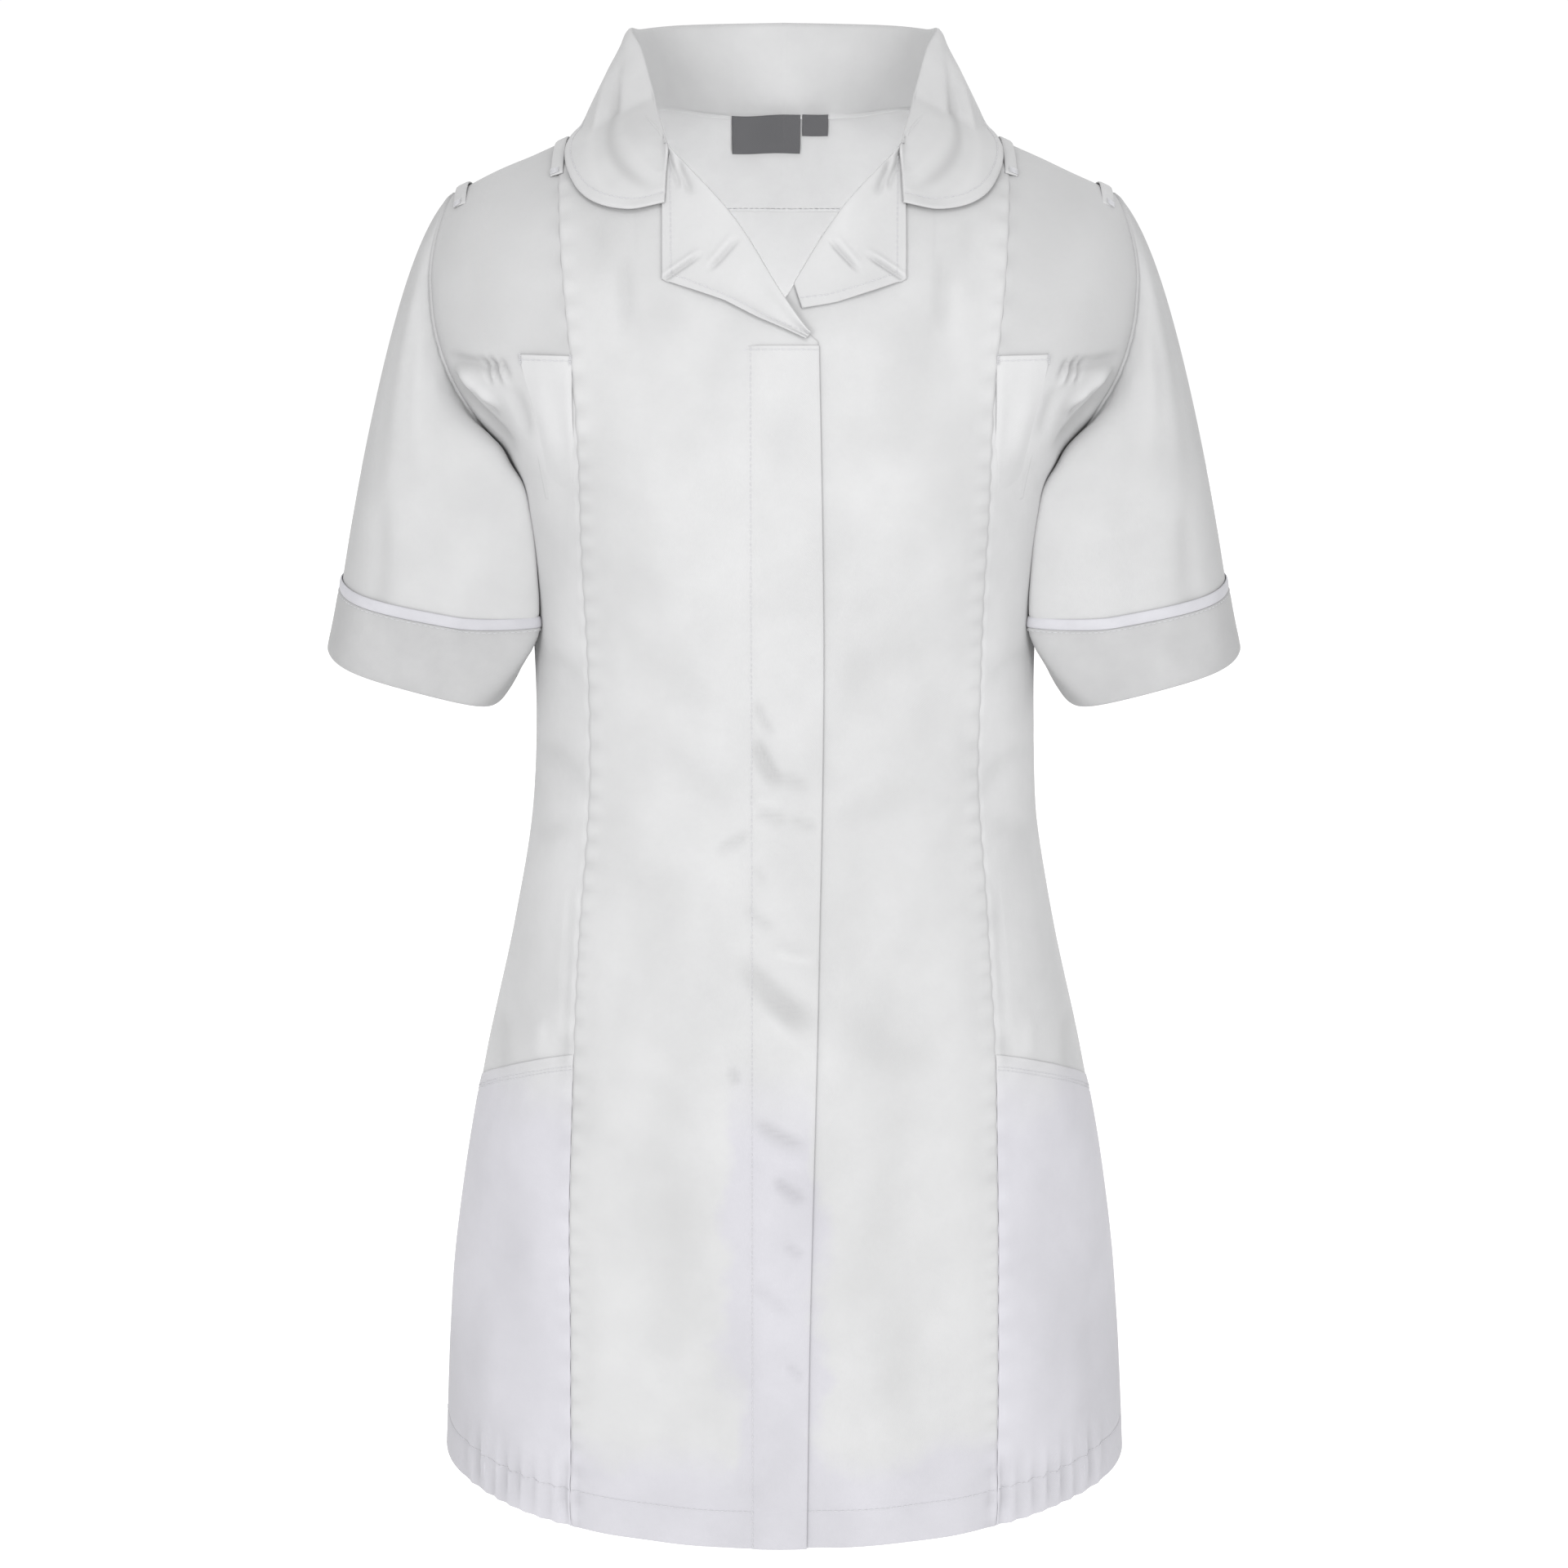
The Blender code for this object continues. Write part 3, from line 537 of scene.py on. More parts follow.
# On the wearer's own left and right of the closure: x is negative on the wearer's right.
CLOSURE_CREASES = table(
    CREASE,
    (-15, -266, -5, -284, 1, 2.4, -1.1),
    (-15, -286, -3, -309, 1, 3.6, -1.9),
    (-7, -306, 13, -311, -1, 3.0, -1.0),
    (-16, -316, 0, -320, 0, 2.8, 0.9),
    (-15, -324, 3, -328, 0, 2.6, -1.0),
    (3, -327, 17, -332, 0, 2.6, -0.9),
    (-36, -343, -18, -334, 1, 2.6, -1.2),
    (-15, -351, -10, -361, 0, 2.6, -0.7),
    (-21, -371, -4, -384, 1, 2.8, -1.0),
    (-22, -399, 16, -434, 3, 6.2, -2.2),
    (-7, -394, 17, -400, 1, 3.2, 1.4),
    (-12, -424, 12, -446, 1, 4.0, 0.8),
    (-28, -455, -24, -463, 0, 2.6, -1.1),
    (-16, -482, 11, -496, 1, 3.0, -1.4),
    (-10, -498, 12, -506, 1, 3.0, 0.8),
    (-5, -512, 11, -524, 1, 2.6, -1.3),
    (0, -546, 10, -554, 0, 2.4, -0.8),
    (2, -610, 10, -619, 0, 2.4, -0.8),
    (-17, -566, 4, -584, 1, 3.4, -0.6),
    (-66, -286, -22, -322, 4, 9.0, -0.7),
    (20, -336, 70, -314, -3, 9.0, -0.6),
    (22, -424, 84, -454, 5, 11.0, -0.6),
    (-84, -236, -26, -268, 4, 10.0, -0.6),
    (26, -262, 88, -232, -4, 10.0, -0.5),
    (-90, -352, -24, -372, 5, 12.0, -0.4),
    (-30, -520, -84, -546, 4, 12.0, -0.4),
)

# On both fronts alike.
FRONT_CREASES = table(
    CREASE,
    (79, -44, 77, -80, 0, 4.0, -0.9),
    (88, -50, 86, -92, 0, 6.0, 0.5),
    (92, -26, 90.5, -44, 0, 3.4, -0.35),
    (172, -98, 139, -100, -1, 3.2, -1.7),
    (153.5, -97, 147.0, -110, 0.5, 1.4, -1.0),
    (150.0, -98, 145.0, -108, 0, 1.1, 0.6),
    (148.5, -96, 141.5, -109, -0.4, 1.3, -1.1),
    (144.5, -97, 138.0, -111, 0, 1.2, 0.6),
    (143.0, -97, 137.0, -107, 0.3, 1.4, -0.8),
    (166, -103, 146, -122, 0, 3.2, 1.6),
    (171.5, -104, 140, -142, -1.5, 3.2, -2.4),
    (158, -112, 146, -128, 0, 2.0, -1.2),
    (150, -116, 140, -152, 2, 7.0, -1.1),
    (137, -110, 129, -136, 1, 4.0, -1.0),
    (152, -448, 153, -478, 0, 4.5, -1.0),
    (129, -443, 129, -462, 0, 4.5, 0.7),
    (117, -446, 117, -464, 0, 3.6, -0.7),
    (111.5, -372, 115.5, -452, 0, 1.6, -0.5),
    (128, -250, 104, -262, 1, 5.0, -0.6),
    (130, -300, 103, -318, 2, 6.0, -0.7),
    (134, -352, 108, -338, 2, 6.0, -0.5),
    (58, -400, 74, -720, 6, 14.0, -0.55),
    (90, -440, 97, -720, -3, 12.0, 0.5),
    (146, -510, 158, -720, 5, 13.0, -0.45),
    (166, -600, 176, -716, 2, 8.0, -0.8),
)

BACK_CREASES = table(
    CREASE,
    (166, -110, 126, -152, -3, 5.5, -2.0),
    (160, -126, 140, -180, 3, 8.0, -1.0),
    (150, -86, 120, -100, 2, 6.0, -0.8),
    (118, -240, 40, -262, 5, 8.0, -1.0),
    (124, -292, 52, -306, -4, 7.0, -1.2),
    (112, -322, 24, -330, 4, 6.0, -0.9),
    (70, -278, 10, -286, -3, 8.0, 0.6),
    (38, -420, 52, -706, 5, 16.0, -1.6),
    (84, -450, 100, -706, -5, 15.0, 1.3),
    (122, -470, 142, -706, 4, 13.0, -1.3),
    (60, -60, 48, -150, 3, 12.0, -0.6),
)

# On the turned-back lapels alone.
LAPEL_CREASES = table(
    CREASE,
    (61, -59, 41, -46, 0, 1.1, -1.0),
    (60, -56, 41, -43.5, 0, 1.5, 0.6),
    (36, -53, 22, -39, 0, 1.2, -0.9),
    (38, -51, 25, -37, 0, 1.6, 0.4),
    (57, -1, 51, -14, 1, 1.8, -0.9),
    (52, 0, 45, -17, -1, 2.0, -0.9),
    (55, 0, 49, -14, 0, 1.6, 0.7),
)

# On the collar's leaf: along is the share of half the neck seam, and down the share of the leaf.
LEAF_FOLDS = table(
    "along0 down0 along1 down1 width depth",
    (0.42, 0.12, 0.05, 0.60, 6.5, -2.1),
    (0.46, 0.40, 0.12, 0.92, 6.0, 1.2),
    (0.34, 0.02, 0.02, 0.30, 5.0, 0.9),
    (0.66, 0.30, 0.60, 0.95, 9.0, -0.8),
    (0.88, 0.25, 0.84, 0.95, 10.0, -0.6),
)

# On the sleeve: turn in degrees from the shoulder's top towards the front, share down from the cap.
SLEEVE_FOLDS = table(
    "turn0 down0 turn1 down1 width depth",
    (140, 0.10, 112, 0.55, 6.0, -0.5),
    (118, 0.12, 100, 0.50, 6.0, 0.5),
    (72, 0.05, 84, 0.55, 9.0, 0.6),
    (40, 0.10, 52, 0.80, 10.0, -0.6),
    (58, 0.72, 66, 1.02, 7.0, -0.9),
    (108, 0.55, 100, 0.97, 8.0, 0.6),
    (-60, 0.08, -74, 0.75, 9.0, -1.0),
    (-100, 0.10, -88, 0.60, 8.0, 0.8),
    (-140, 0.10, -122, 0.70, 6.0, -1.5),
)


def soft_line(along, beside, width, depth):
    """A trough or ridge, fading at both ends of its line."""
    ends = ease(along, -0.12, 0.3) * fade(along, 0.7, 1.12)
    return depth * ends * bell(beside, 0, width)


def crease_line(a, b, run, row, bend=0.0):
    """The depth of one crease at places a and b from its start, where run leads to its end."""
    length = np.hypot(*run)
    along = (a * run[0] + b * run[1]) / length**2
    bow = bend * 4 * np.clip(along, 0, 1) * (1 - np.clip(along, 0, 1))
    return soft_line(along, (a * run[1] - b * run[0]) / length - bow, row.width, row.depth)


def creased(rows, x, z):
    total = np.zeros(np.shape(x))
    for row in rows:
        run = np.array([row.x1 - row.x0, row.z1 - row.z0], float)
        total = total + crease_line(x - row.x0, z - row.z0, run, row, row.bend)
    return total


def gathers(out, z, pitch, wander, drift):
    """Small folds side by side, above the hem's stitches."""
    return np.sin(out / pitch + wander * np.sin(z / drift)) * bell(z - HEM, 15, 17)


def folds_at(face, x, z):
    """Troughs and ridges of the worn cloth, x being signed across the wearer."""
    x, z = np.broadcast_arrays(x, z)
    out = np.abs(x)
    sway = 0.45 * np.sin(x / 19.0 + z / 61.0) * np.sin(z / 47.0 + x / 83.0)
    sway = sway + 0.25 * np.sin(x / 9.5 - z / 38.0 + 1.3) * np.sin(z / 29.0 - x / 31.0)
    if face == FRONT:
        total = creased(FRONT_CREASES, out, z) + creased(CLOSURE_CREASES, x, z)
        total = total + gathers(out, z, 1.35, 0.6, 9.0) * ease(out, 104, 116) * fade(out, 168, 182)
    else:
        total = creased(BACK_CREASES, out, z) + 0.35 * gathers(out, z, 1.9, 0.8, 11.0) * ease(out, 60, 90)
    return total + sway


def relief(face, x, z, extra=()):
    """How far the worn cloth stands out from the smooth form."""
    folds = folds_at(face, x, z) + creased(extra, np.abs(x), z)
    hem_row = 0.4 * bell(z - HEM, HEM_TURN, 1.6)
    return bpy.context.scene.tunic_cloth.crease_depth * folds - hem_row


def painted_fold_shade(face, side, u, level, extra=()):
    """Depth of the troughs at each place of a grid, which darkens the cloth's colour as painted shade; ridges
    are negative and lighten it as painted highlight.
    """
    points = form(face, u, level)
    x, z = points[..., 0] * side, points[..., 2]
    return -folds_at(face, x, z) - creased(extra, np.abs(x), z)


def skin(face, side, u, level, out=0.0, extra=()):
    """Points of the worn panel, moved out by the layer's height; they meet again at side seams."""
    u, level = np.broadcast_arrays(np.asarray(u, float), np.asarray(level, float))
    points = form(face, u, level)
    signed = points[..., 0] * side
    folds = relief(face, signed, points[..., 2], extra)
    calm = fade(np.abs(u), 1.86, 1.99) * fade(level, SHOULDER - 12, SHOULDER - 1)
    moved = points + form_normal(face, u, level) * (out + folds * calm)[..., None]
    return mirrored(moved, side)


def seam_turn(distance):
    """The centre panel's edge, raised by its seam allowances and rolled in at the stitches."""
    return 0.35 * fade(distance, 4, 9) - 0.55 * fade(distance, 0, 1.3)


def seam_beat(along):
    return np.cos(along * 2 * np.pi / 12.5 + 1.7 * np.sin(along / 31.0) + 0.9 * np.sin(along / 13.0))


def seam_dip(along, distance):
    return -(0.5 + 0.2 * seam_beat(along)) * fade(distance, 0, 2.6)


def puckers(along, distance):
    return 0.3 * seam_beat(along) * bell(distance, 2.5, 4.0)


HEM_ROWS = np.array([0, 0.7, 1.6, 3, 6, 10, 14, 17, 18.4, 19.3, 20, 20.7, 21.6, 23, 26])


def panel_rows():
    """Levels from the hem to the underarm, close together at the hem's stitches."""
    return np.concatenate([HEM + HEM_ROWS, np.arange(HEM + 29, UNDERARM - 1, 2.9), [UNDERARM]])


def grid_length(points, axis):
    """Distances along the rows (axis 1) or columns (axis 0) of a grid of points."""
    steps = np.linalg.norm(np.diff(points, axis=axis), axis=-1)
    start = np.zeros_like(np.take(steps, [0], axis=axis))
    return np.concatenate([start, np.cumsum(steps, axis=axis)], axis=axis)


def grid_normal(points, loop):
    wrapped = np.concatenate([points[:, -1:], points, points[:, :1]], 1) if loop else points
    across = np.gradient(wrapped, axis=1)
    if loop:
        across = across[:, 1:-1]
    return unit(np.cross(across, np.gradient(points, axis=0)))


def rim_cycles(rows, columns, loop):
    """The edges of a grid as closed runs of vertex numbers, in the direction of its faces."""
    at = np.arange(rows * columns).reshape(rows, columns)
    if loop:
        return [at[0], at[-1][::-1]]
    return [np.concatenate([at[0], at[1:, -1], at[-1, -2::-1], at[-2:0:-1, 0]])]


def sheet_mesh(name, points, thickness, away_from, loop=False, fold=0.0):
    """A closed sheet of cloth behind a grid of outer points, with rounded edges, a flat UV map and a fold
    attribute that carries its painted shade.
    """
    thickness = np.broadcast_to(np.asarray(thickness, float), points.shape[:2])
    fold = np.broadcast_to(np.asarray(fold, float), points.shape[:2])
    normal = grid_normal(points, loop)
    if np.sum(normal * (points - np.array(away_from))) < 0:
        points, thickness, fold = points[:, ::-1], thickness[:, ::-1], fold[:, ::-1]
        normal = grid_normal(points, loop)
    rows, columns = points.shape[:2]
    inner = points - normal * thickness[..., None]
    away = np.zeros_like(points)
    away[0] += unit(points[0] - points[1])
    away[-1] += unit(points[-1] - points[-2])
    if not loop:
        away[:, 0] += unit(points[:, 0] - points[:, 1])
        away[:, -1] += unit(points[:, -1] - points[:, -2])
    middle = (points + inner) / 2 + away * 0.35 * thickness[..., None]
    count = rows * columns
    cycles = rim_cycles(rows, columns, loop)
    rim = np.concatenate(cycles)
    verts = np.concatenate([points.reshape(-1, 3), inner.reshape(-1, 3), middle.reshape(-1, 3)[rim]])
    closed = closed_up(points, loop)
    flat = np.stack([grid_length(closed, 1), grid_length(closed, 0)], -1)
    r, c = np.meshgrid(np.arange(rows - 1), np.arange(closed.shape[1] - 1), indexing="ij")
    r, c = r.ravel(), c.ravel()
    d = (c + 1) % columns
    quads = np.stack([r * columns + c, r * columns + d, (r + 1) * columns + d, (r + 1) * columns + c], -1)
    maps = np.stack([flat[r, c], flat[r, c + 1], flat[r + 1, c + 1], flat[r + 1, c]], 1)
    faces, uvs = [quads, quads[:, ::-1] + count], [maps, maps[:, ::-1]]
    plain = flat[:, :columns].reshape(-1, 2)
    start = 2 * count
    for here in cycles:
        ahead = np.roll(here, -1)
        edge = start + np.arange(len(here))
        edge_ahead = np.roll(edge, -1)
        faces.append(np.stack([ahead, here, edge, edge_ahead], -1))
        faces.append(np.stack([edge_ahead, edge, here + count, ahead + count], -1))
        uvs += [np.stack([plain[ahead], plain[here], plain[here], plain[ahead]], 1)] * 2
        start += len(here)
    mesh = bpy.data.meshes.new(name)
    mesh.from_pydata((verts * MM).tolist(), [], np.concatenate(faces).tolist())
    layer = mesh.uv_layers.new(name="flat cloth")
    layer.data.foreach_set("uv", (np.concatenate(uvs).reshape(-1, 2) * MM).ravel())
    # The fold attribute is painted shade: positive values darken the cloth's colour, negative ones lighten it
    # as painted light.
    painted_shade_layer = mesh.attributes.new("fold", "FLOAT", "POINT")
    fold = fold.ravel()
    painted_shade_layer.data.foreach_set("value", np.concatenate([fold, fold, fold[rim]]).astype(np.float32))
    mesh.shade_smooth()
    return mesh, points


def link(name, data, material=None):
    """Puts new data into the scene as an object at the origin."""
    obj = bpy.data.objects.new(name, data)
    bpy.context.scene.collection.objects.link(obj)
    if material:
        data.materials.append(material)
    return obj


def sew(
    name, points, thickness, finish, nodes, away_from=INSIDE, held="hung", rests_on=(), loop=False,
    slot="tunic_cloth", fold=0.0,
):
    """Makes one piece of cloth, gives it its material and puts it in place of its solid; fold is the painted
    shade stored on its points.
    """
    mesh, laid = sheet_mesh(name, points, thickness, away_from, loop, fold)
    obj = link(name, mesh, finish_for(finish))
    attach(obj, "root")
    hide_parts(*nodes)
    sewn[name] = Sewn(points, grid_normal(points, loop) * (1 if laid is points else -1))


Sewn = namedtuple("Sewn", "points normals")
sewn = {}


class Wire:
    """A socket of a material's nodes, which adds and multiplies like a number."""

    def __init__(self, recipe, socket):
        self.recipe, self.socket = recipe, socket

    def combine(self, operation, first, second=None):
        inputs = {0: first} if second is None else {0: first, 1: second}
        return self.recipe.node("ShaderNodeMath", {"operation": operation}, inputs)

    def __add__(self, other):
        return self.combine("ADD", self, other)

    def __radd__(self, other):
        return self.combine("ADD", other, self)

    def __sub__(self, other):
        return self.combine("SUBTRACT", self, other)

    def __rsub__(self, other):
        return self.combine("SUBTRACT", other, self)

    def __mul__(self, other):
        return self.combine("MULTIPLY", self, other)

    def __rmul__(self, other):
        return self.combine("MULTIPLY", other, self)

    def __truediv__(self, other):
        return self.combine("DIVIDE", self, other)

    def sine(self):
        return self.combine("SINE", self)

    def absolute(self):
        return self.combine("ABSOLUTE", self)


class Recipe:
    """The nodes of one material, made by one method."""

    def __init__(self, name):
        self.material = bpy.data.materials.new(name)
        self.material.use_nodes = True
        self.tree = self.material.node_tree
        self.tree.nodes.clear()

    def node(self, kind, settings=None, inputs=None, out=0):
        node = self.tree.nodes.new(kind)
        for key, value in (settings or {}).items():
            setattr(node, key, value)
        for key, value in (inputs or {}).items():
            if isinstance(value, Wire):
                self.tree.links.new(value.socket, node.inputs[key])
            else:
                node.inputs[key].default_value = value
        return Wire(self, node.outputs[out]) if len(node.outputs) else None

    def noise(self, place, scale, detail=2.0, out="Fac"):
        inputs = {"Vector": place, "Scale": scale, "Detail": detail, "Roughness": 0.55}
        return self.node("ShaderNodeTexNoise", {"noise_dimensions": "3D"}, inputs, out)

    def bump(self, strength, distance, height, normal=None):
        inputs = {"Strength": strength, "Distance": distance, "Height": height}
        if normal:
            inputs["Normal"] = normal
        return self.node("ShaderNodeBump", None, inputs)

    def clamped(self, value):
        return self.node("ShaderNodeClamp", None, {0: value})

    def mix_colour(self, share, first, second, blend="MIX"):
        settings = {"data_type": "RGBA", "blend_type": blend}
        return self.node("ShaderNodeMix", settings, {0: share, 6: first, 7: second}, 2)

    def parts(self, vector):
        """The x, y and z of a vector."""
        node = self.tree.nodes.new("ShaderNodeSeparateXYZ")
        self.tree.links.new(vector.socket, node.inputs[0])
        return [Wire(self, output) for output in node.outputs]


def lavender_share(recipe, place, start, full, closure):
    """Where the cloth has a lavender cast: below a height, and along the lower closure."""
    x, _, z = recipe.parts(place)
    uneven = (recipe.noise(place, 26.0, 3.0) - 0.5) * 0.05
    low = recipe.clamped((z * -1.0 + start + uneven) / (start - full))
    if not closure:
        return low
    strip = recipe.clamped(((x + 0.004 + uneven).absolute() * -1.0 + 0.027) * 110.0)
    return recipe.clamped(low + strip * recipe.clamped((z * -1.0 - 0.455 + uneven) * 22.0))


def polycotton(
    name, colour, weave=0.62, mottle=0.025, crumple=0.35, sheen=0.12, cast=None, closure=False, level=1.0
):
    """A fine twill of polyester and cotton: diagonal wales, slubs and faint pressing marks, with painted
    shade and painted highlight read from the fold attribute.
    """
    recipe = Recipe(name)
    colour = [c * level for c in colour]

    def tinted(*levels):
        return (*[min(c * share, 1.0) for c, share in zip(colour, levels * (3 // len(levels)))], 1.0)

    across, along, _ = recipe.parts(recipe.node("ShaderNodeUVMap", {"uv_map": "flat cloth"}))
    place = recipe.node("ShaderNodeTexCoord", out="Object")
    turn = 2 * np.pi / (weave * MM)
    wales = (across * turn + along * (turn * 0.62)).sine()
    picks = (along * (turn * 1.35)).sine()
    slubs = recipe.noise(place, 900.0, 3.0)
    marks = recipe.noise(place, 38.0, 4.0)
    cloud = recipe.noise(place, 9.0, 3.0)
    shade = (marks * 0.55 + cloud * 0.45 - 0.5) * 2.5 + 0.5
    fleck = recipe.noise(place, 420.0, 2.0)
    base = recipe.mix_colour(shade, tinted(1 - mottle * 2.5), tinted(1 + mottle * 2.5))
    tint = recipe.mix_colour(fleck * 0.16, base, tinted(0.86, 0.87, 0.9))
    weave_bump = recipe.bump(0.22, 0.00022, wales * 0.45 + picks * 0.25 + slubs * 1.1)
    soft = recipe.bump(crumple, 0.0016, marks * 0.8 + cloud * 1.2, weave_bump)
    # Painted shade: the fold attribute darkens the colour towards 0.8 of it in troughs and shaded places, and
    # lightens it towards 1.1 of it on ridges and lit places as painted highlight.
    depth = recipe.node("ShaderNodeAttribute", {"attribute_name": "fold"}, None, "Fac")
    tint = recipe.mix_colour(depth * 0.42, tint, tinted(0.80))
    tint = recipe.mix_colour(depth * -0.35, tint, tinted(1.10))
    if cast:
        tint = recipe.mix_colour(lavender_share(recipe, place, *cast, closure), tint, LAVENDER, "MULTIPLY")
    sockets = {
        "Base Color": tint, "Roughness": 0.82, "Normal": soft, "Sheen Weight": sheen, "Sheen Roughness": 0.5,
        "Specular IOR Level": 0.3,
    }
    cloth = recipe.node("ShaderNodeBsdfPrincipled", None, sockets)
    recipe.node("ShaderNodeOutputMaterial", None, {"Surface": cloth})
    return recipe.material


LAVENDER = (0.957, 0.945, 1.0, 1.0)

# Each kind of cloth: its name, the setting of its colour, and how it differs from plain polycotton. The
# sleeves, cuffs, sides, pen pockets and hip pockets are the fronts' white cloth, made darker as painted shade
# (sleeves, cuffs) or lighter as painted light (sides, pen pockets, hip pockets).
FINISHES = {
    "white": ("White polycotton", "white", {"cast": (-0.655, -0.675), "closure": True}),
    "sleeve": ("White polycotton of the sleeves", "sleeve_white", {}),
    "cuff": ("White polycotton of the cuffs", "cuff_white", {"mottle": 0.045}),
    "side": ("White polycotton of the sides", "side_lit_white", {"cast": (-0.49, -0.54)}),
    "pen": ("White polycotton of the pen pockets", "side_lit_white", {"level": 0.97}),
    "pocket": ("White polycotton of the hip pockets", "pocket_white", {"cast": (-0.456, -0.50)}),
    "trim": ("Folded trim", "trim_colour", {"weave": 0.5, "mottle": 0.05, "crumple": 0.2}),
    "collar": ("White polycotton of the collar", "collar_white", {"crumple": 0.2}),
    "label": ("Grey woven tape", "label_grey", {"weave": 0.9, "crumple": 0.1, "sheen": 0.05}),
    "tape": ("Knitted zip tape", "tape_white", {"weave": 1.1, "crumple": 0.1}),
    "thread": ("White sewing thread", "thread_white", {"weave": 0.4, "crumple": 0.0, "sheen": 0.3}),
}
finishes = {}


def finish_for(kind):
    """The material of one kind of cloth, made once."""
    if kind not in finishes:
        name, colour, differs = FINISHES[kind]
        finishes[kind] = polycotton(name, getattr(bpy.context.scene.tunic_cloth, colour), **differs)
    return finishes[kind]


def hem_thickness(level):
    """The hem is turned up inside, so the cloth is double there."""
    return SINGLE.thickness + (HEM_DOUBLE - SINGLE.thickness) * fade(level, HEM + 20.3, HEM + 21.6)


def centre_front_grid(columns_at):
    lower = panel_rows()
    u_low = columns_at(lower)
    top_u = columns_at(np.array([PLACKET_TOP]))[0]
    top = level_at(FRONT, top_u, front_neck_height)
    high = UNDERARM + (top - UNDERARM) * np.linspace(0, 1, 64)[1:, None]
    u_high = np.stack([columns_at(np.array([min(row.min(), CHEST)]))[0] for row in high])
    level = np.vstack([np.repeat(lower[:, None], len(top_u), 1), high])
    return np.vstack([u_low, u_high]), level


# How far the columns nearest to a seam's stitches stand from them
BESIDE_SEAM = np.array([9, 6, 4, 2.6, 1.6, 0.9, 0.4, 0])


def seam_columns(start, seam, count=62):
    """Columns from start to the princess seam, closer together beside the stitches."""
    run = np.linspace(0, 1, count)[None] * (seam - BESIDE_SEAM[0] - 2 - start)[:, None] + start[:, None]
    return np.concatenate([run, seam[:, None] - BESIDE_SEAM[None]], 1) / seam[:, None]


def right_columns(z):
    return seam_columns(-read(LAP_EDGE, "x", z), read(PRINCESS, "x", z))


def left_columns(z):
    return seam_columns(np.full(len(z), -LAP_X), read(PRINCESS, "x", z))


def seam_shade(level, u):
    """Shade of a side panel beside its princess seam, uneven along its length."""
    return (0.4 + 0.45 * seam_beat(level * 0.7)) * bell((u - 1) * SIDE_WIDTH, 0, 3.5)


def corner_shade(level, u):
    """Shade of a hip pocket where its hem turns back to the side seam."""
    return 1.5 * ease(u, 1.35, 1.9) * ease(-level, 560, 680)


def to_seam(u, level):
    """Distance from the princess seam, on a centre panel."""
    return (1 - np.abs(u)) * read(PRINCESS, "x", np.minimum(level, CHEST))


def centre_edge(u, level):
    """Relief of the centre panel beside its princess seam, in millimetres."""
    return seam_turn(to_seam(u, level)) + puckers(level, to_seam(u, level))


def centre_shade(face, side, u, level):
    """Shade of a centre panel, with bright puckers beside its seams."""
    return painted_fold_shade(face, side, u, level) - 2.5 * puckers(level, to_seam(u, level))


def make_centre_fronts():
    for label, columns_at in (("right", right_columns), ("left", left_columns)):
        side = SIDES[label]
        u, level = centre_front_grid(columns_at)
        out = centre_edge(u, level)
        if label == "left":
            out = out + lap_step(form(FRONT, u, level)[..., 0])
        points, shade = skin(FRONT, side, u, level, out), centre_shade(FRONT, side, u, level)
        sew(f"front_{label}", points, hem_thickness(level), "white", [f"front_centre_{label}"], fold=shade)


def side_levels(count):
    arm = UNDERARM + (CHEST - UNDERARM) * (1 - np.cos(np.linspace(0, np.pi / 2, count)))
    return np.concatenate([panel_rows(), arm[1:], np.linspace(CHEST, SHOULDER, 34)[1:]])[:, None]


# Columns of a side panel: distances from the princess seam and, at the far edge, from the side seam
SIDE_NEAR = np.array([0, 0.5, 1.1, 1.9, 3.0, 4.6, 7.0])
SIDE_FAR = np.array([3.6, 2.2, 1.2, 0.5, 0])
# How far each column of its tucked edge goes in under the centre panel, and how deep
TUCK_IN = np.array([6.0, 2.4, 0.5])
TUCK_UNDER = np.array([-1.25, -1.2, -1.0])


def side_grid(face):
    """u, level and relief of a side panel, whose front edge is tucked under the centre panel."""
    arm_rows, columns = (76, 50) if face == FRONT else (40, 26)
    level = side_levels(arm_rows)
    near = 1 + SIDE_NEAR / SIDE_WIDTH
    rest = np.linspace(1 + 9.5 / SIDE_WIDTH, 1.93, columns)
    far = 1 + (SIDE_WIDTH - SIDE_FAR) / SIDE_WIDTH
    u = np.concatenate([near, rest, far])[None]
    dip = seam_dip(level, (u - 1) * SIDE_WIDTH) - 0.35 * fade((2 - u) * SIDE_WIDTH, 0, 2.2)
    tucked = 1 - TUCK_IN / read(PRINCESS, "x", np.minimum(level, CHEST))
    u = np.concatenate([tucked, np.broadcast_to(u, dip.shape)], 1)
    out = np.concatenate([np.broadcast_to(TUCK_UNDER, tucked.shape), dip], 1)
    return u, np.broadcast_to(level, u.shape), out


def make_side_panels():
    for face, name, node in ((FRONT, "side_front", "side_front"), (BACK, "side_back", "back_side")):
        u, level, out = side_grid(face)
        for label, side in SIDES.items():
            # Painted shade: the troughs, the cloth beside the princess seam and the upper side over the chest
            # and shoulder are darkened in the cloth's colour.
            shade = painted_fold_shade(face, side, u, level) + seam_shade(level, u) + 1.7 * ease(level, -150, -85)
            points = skin(face, side, u, level, out)
            sew(f"{name}_{label}", points, hem_thickness(level), "side", [f"{node}_{label}"], fold=shade)


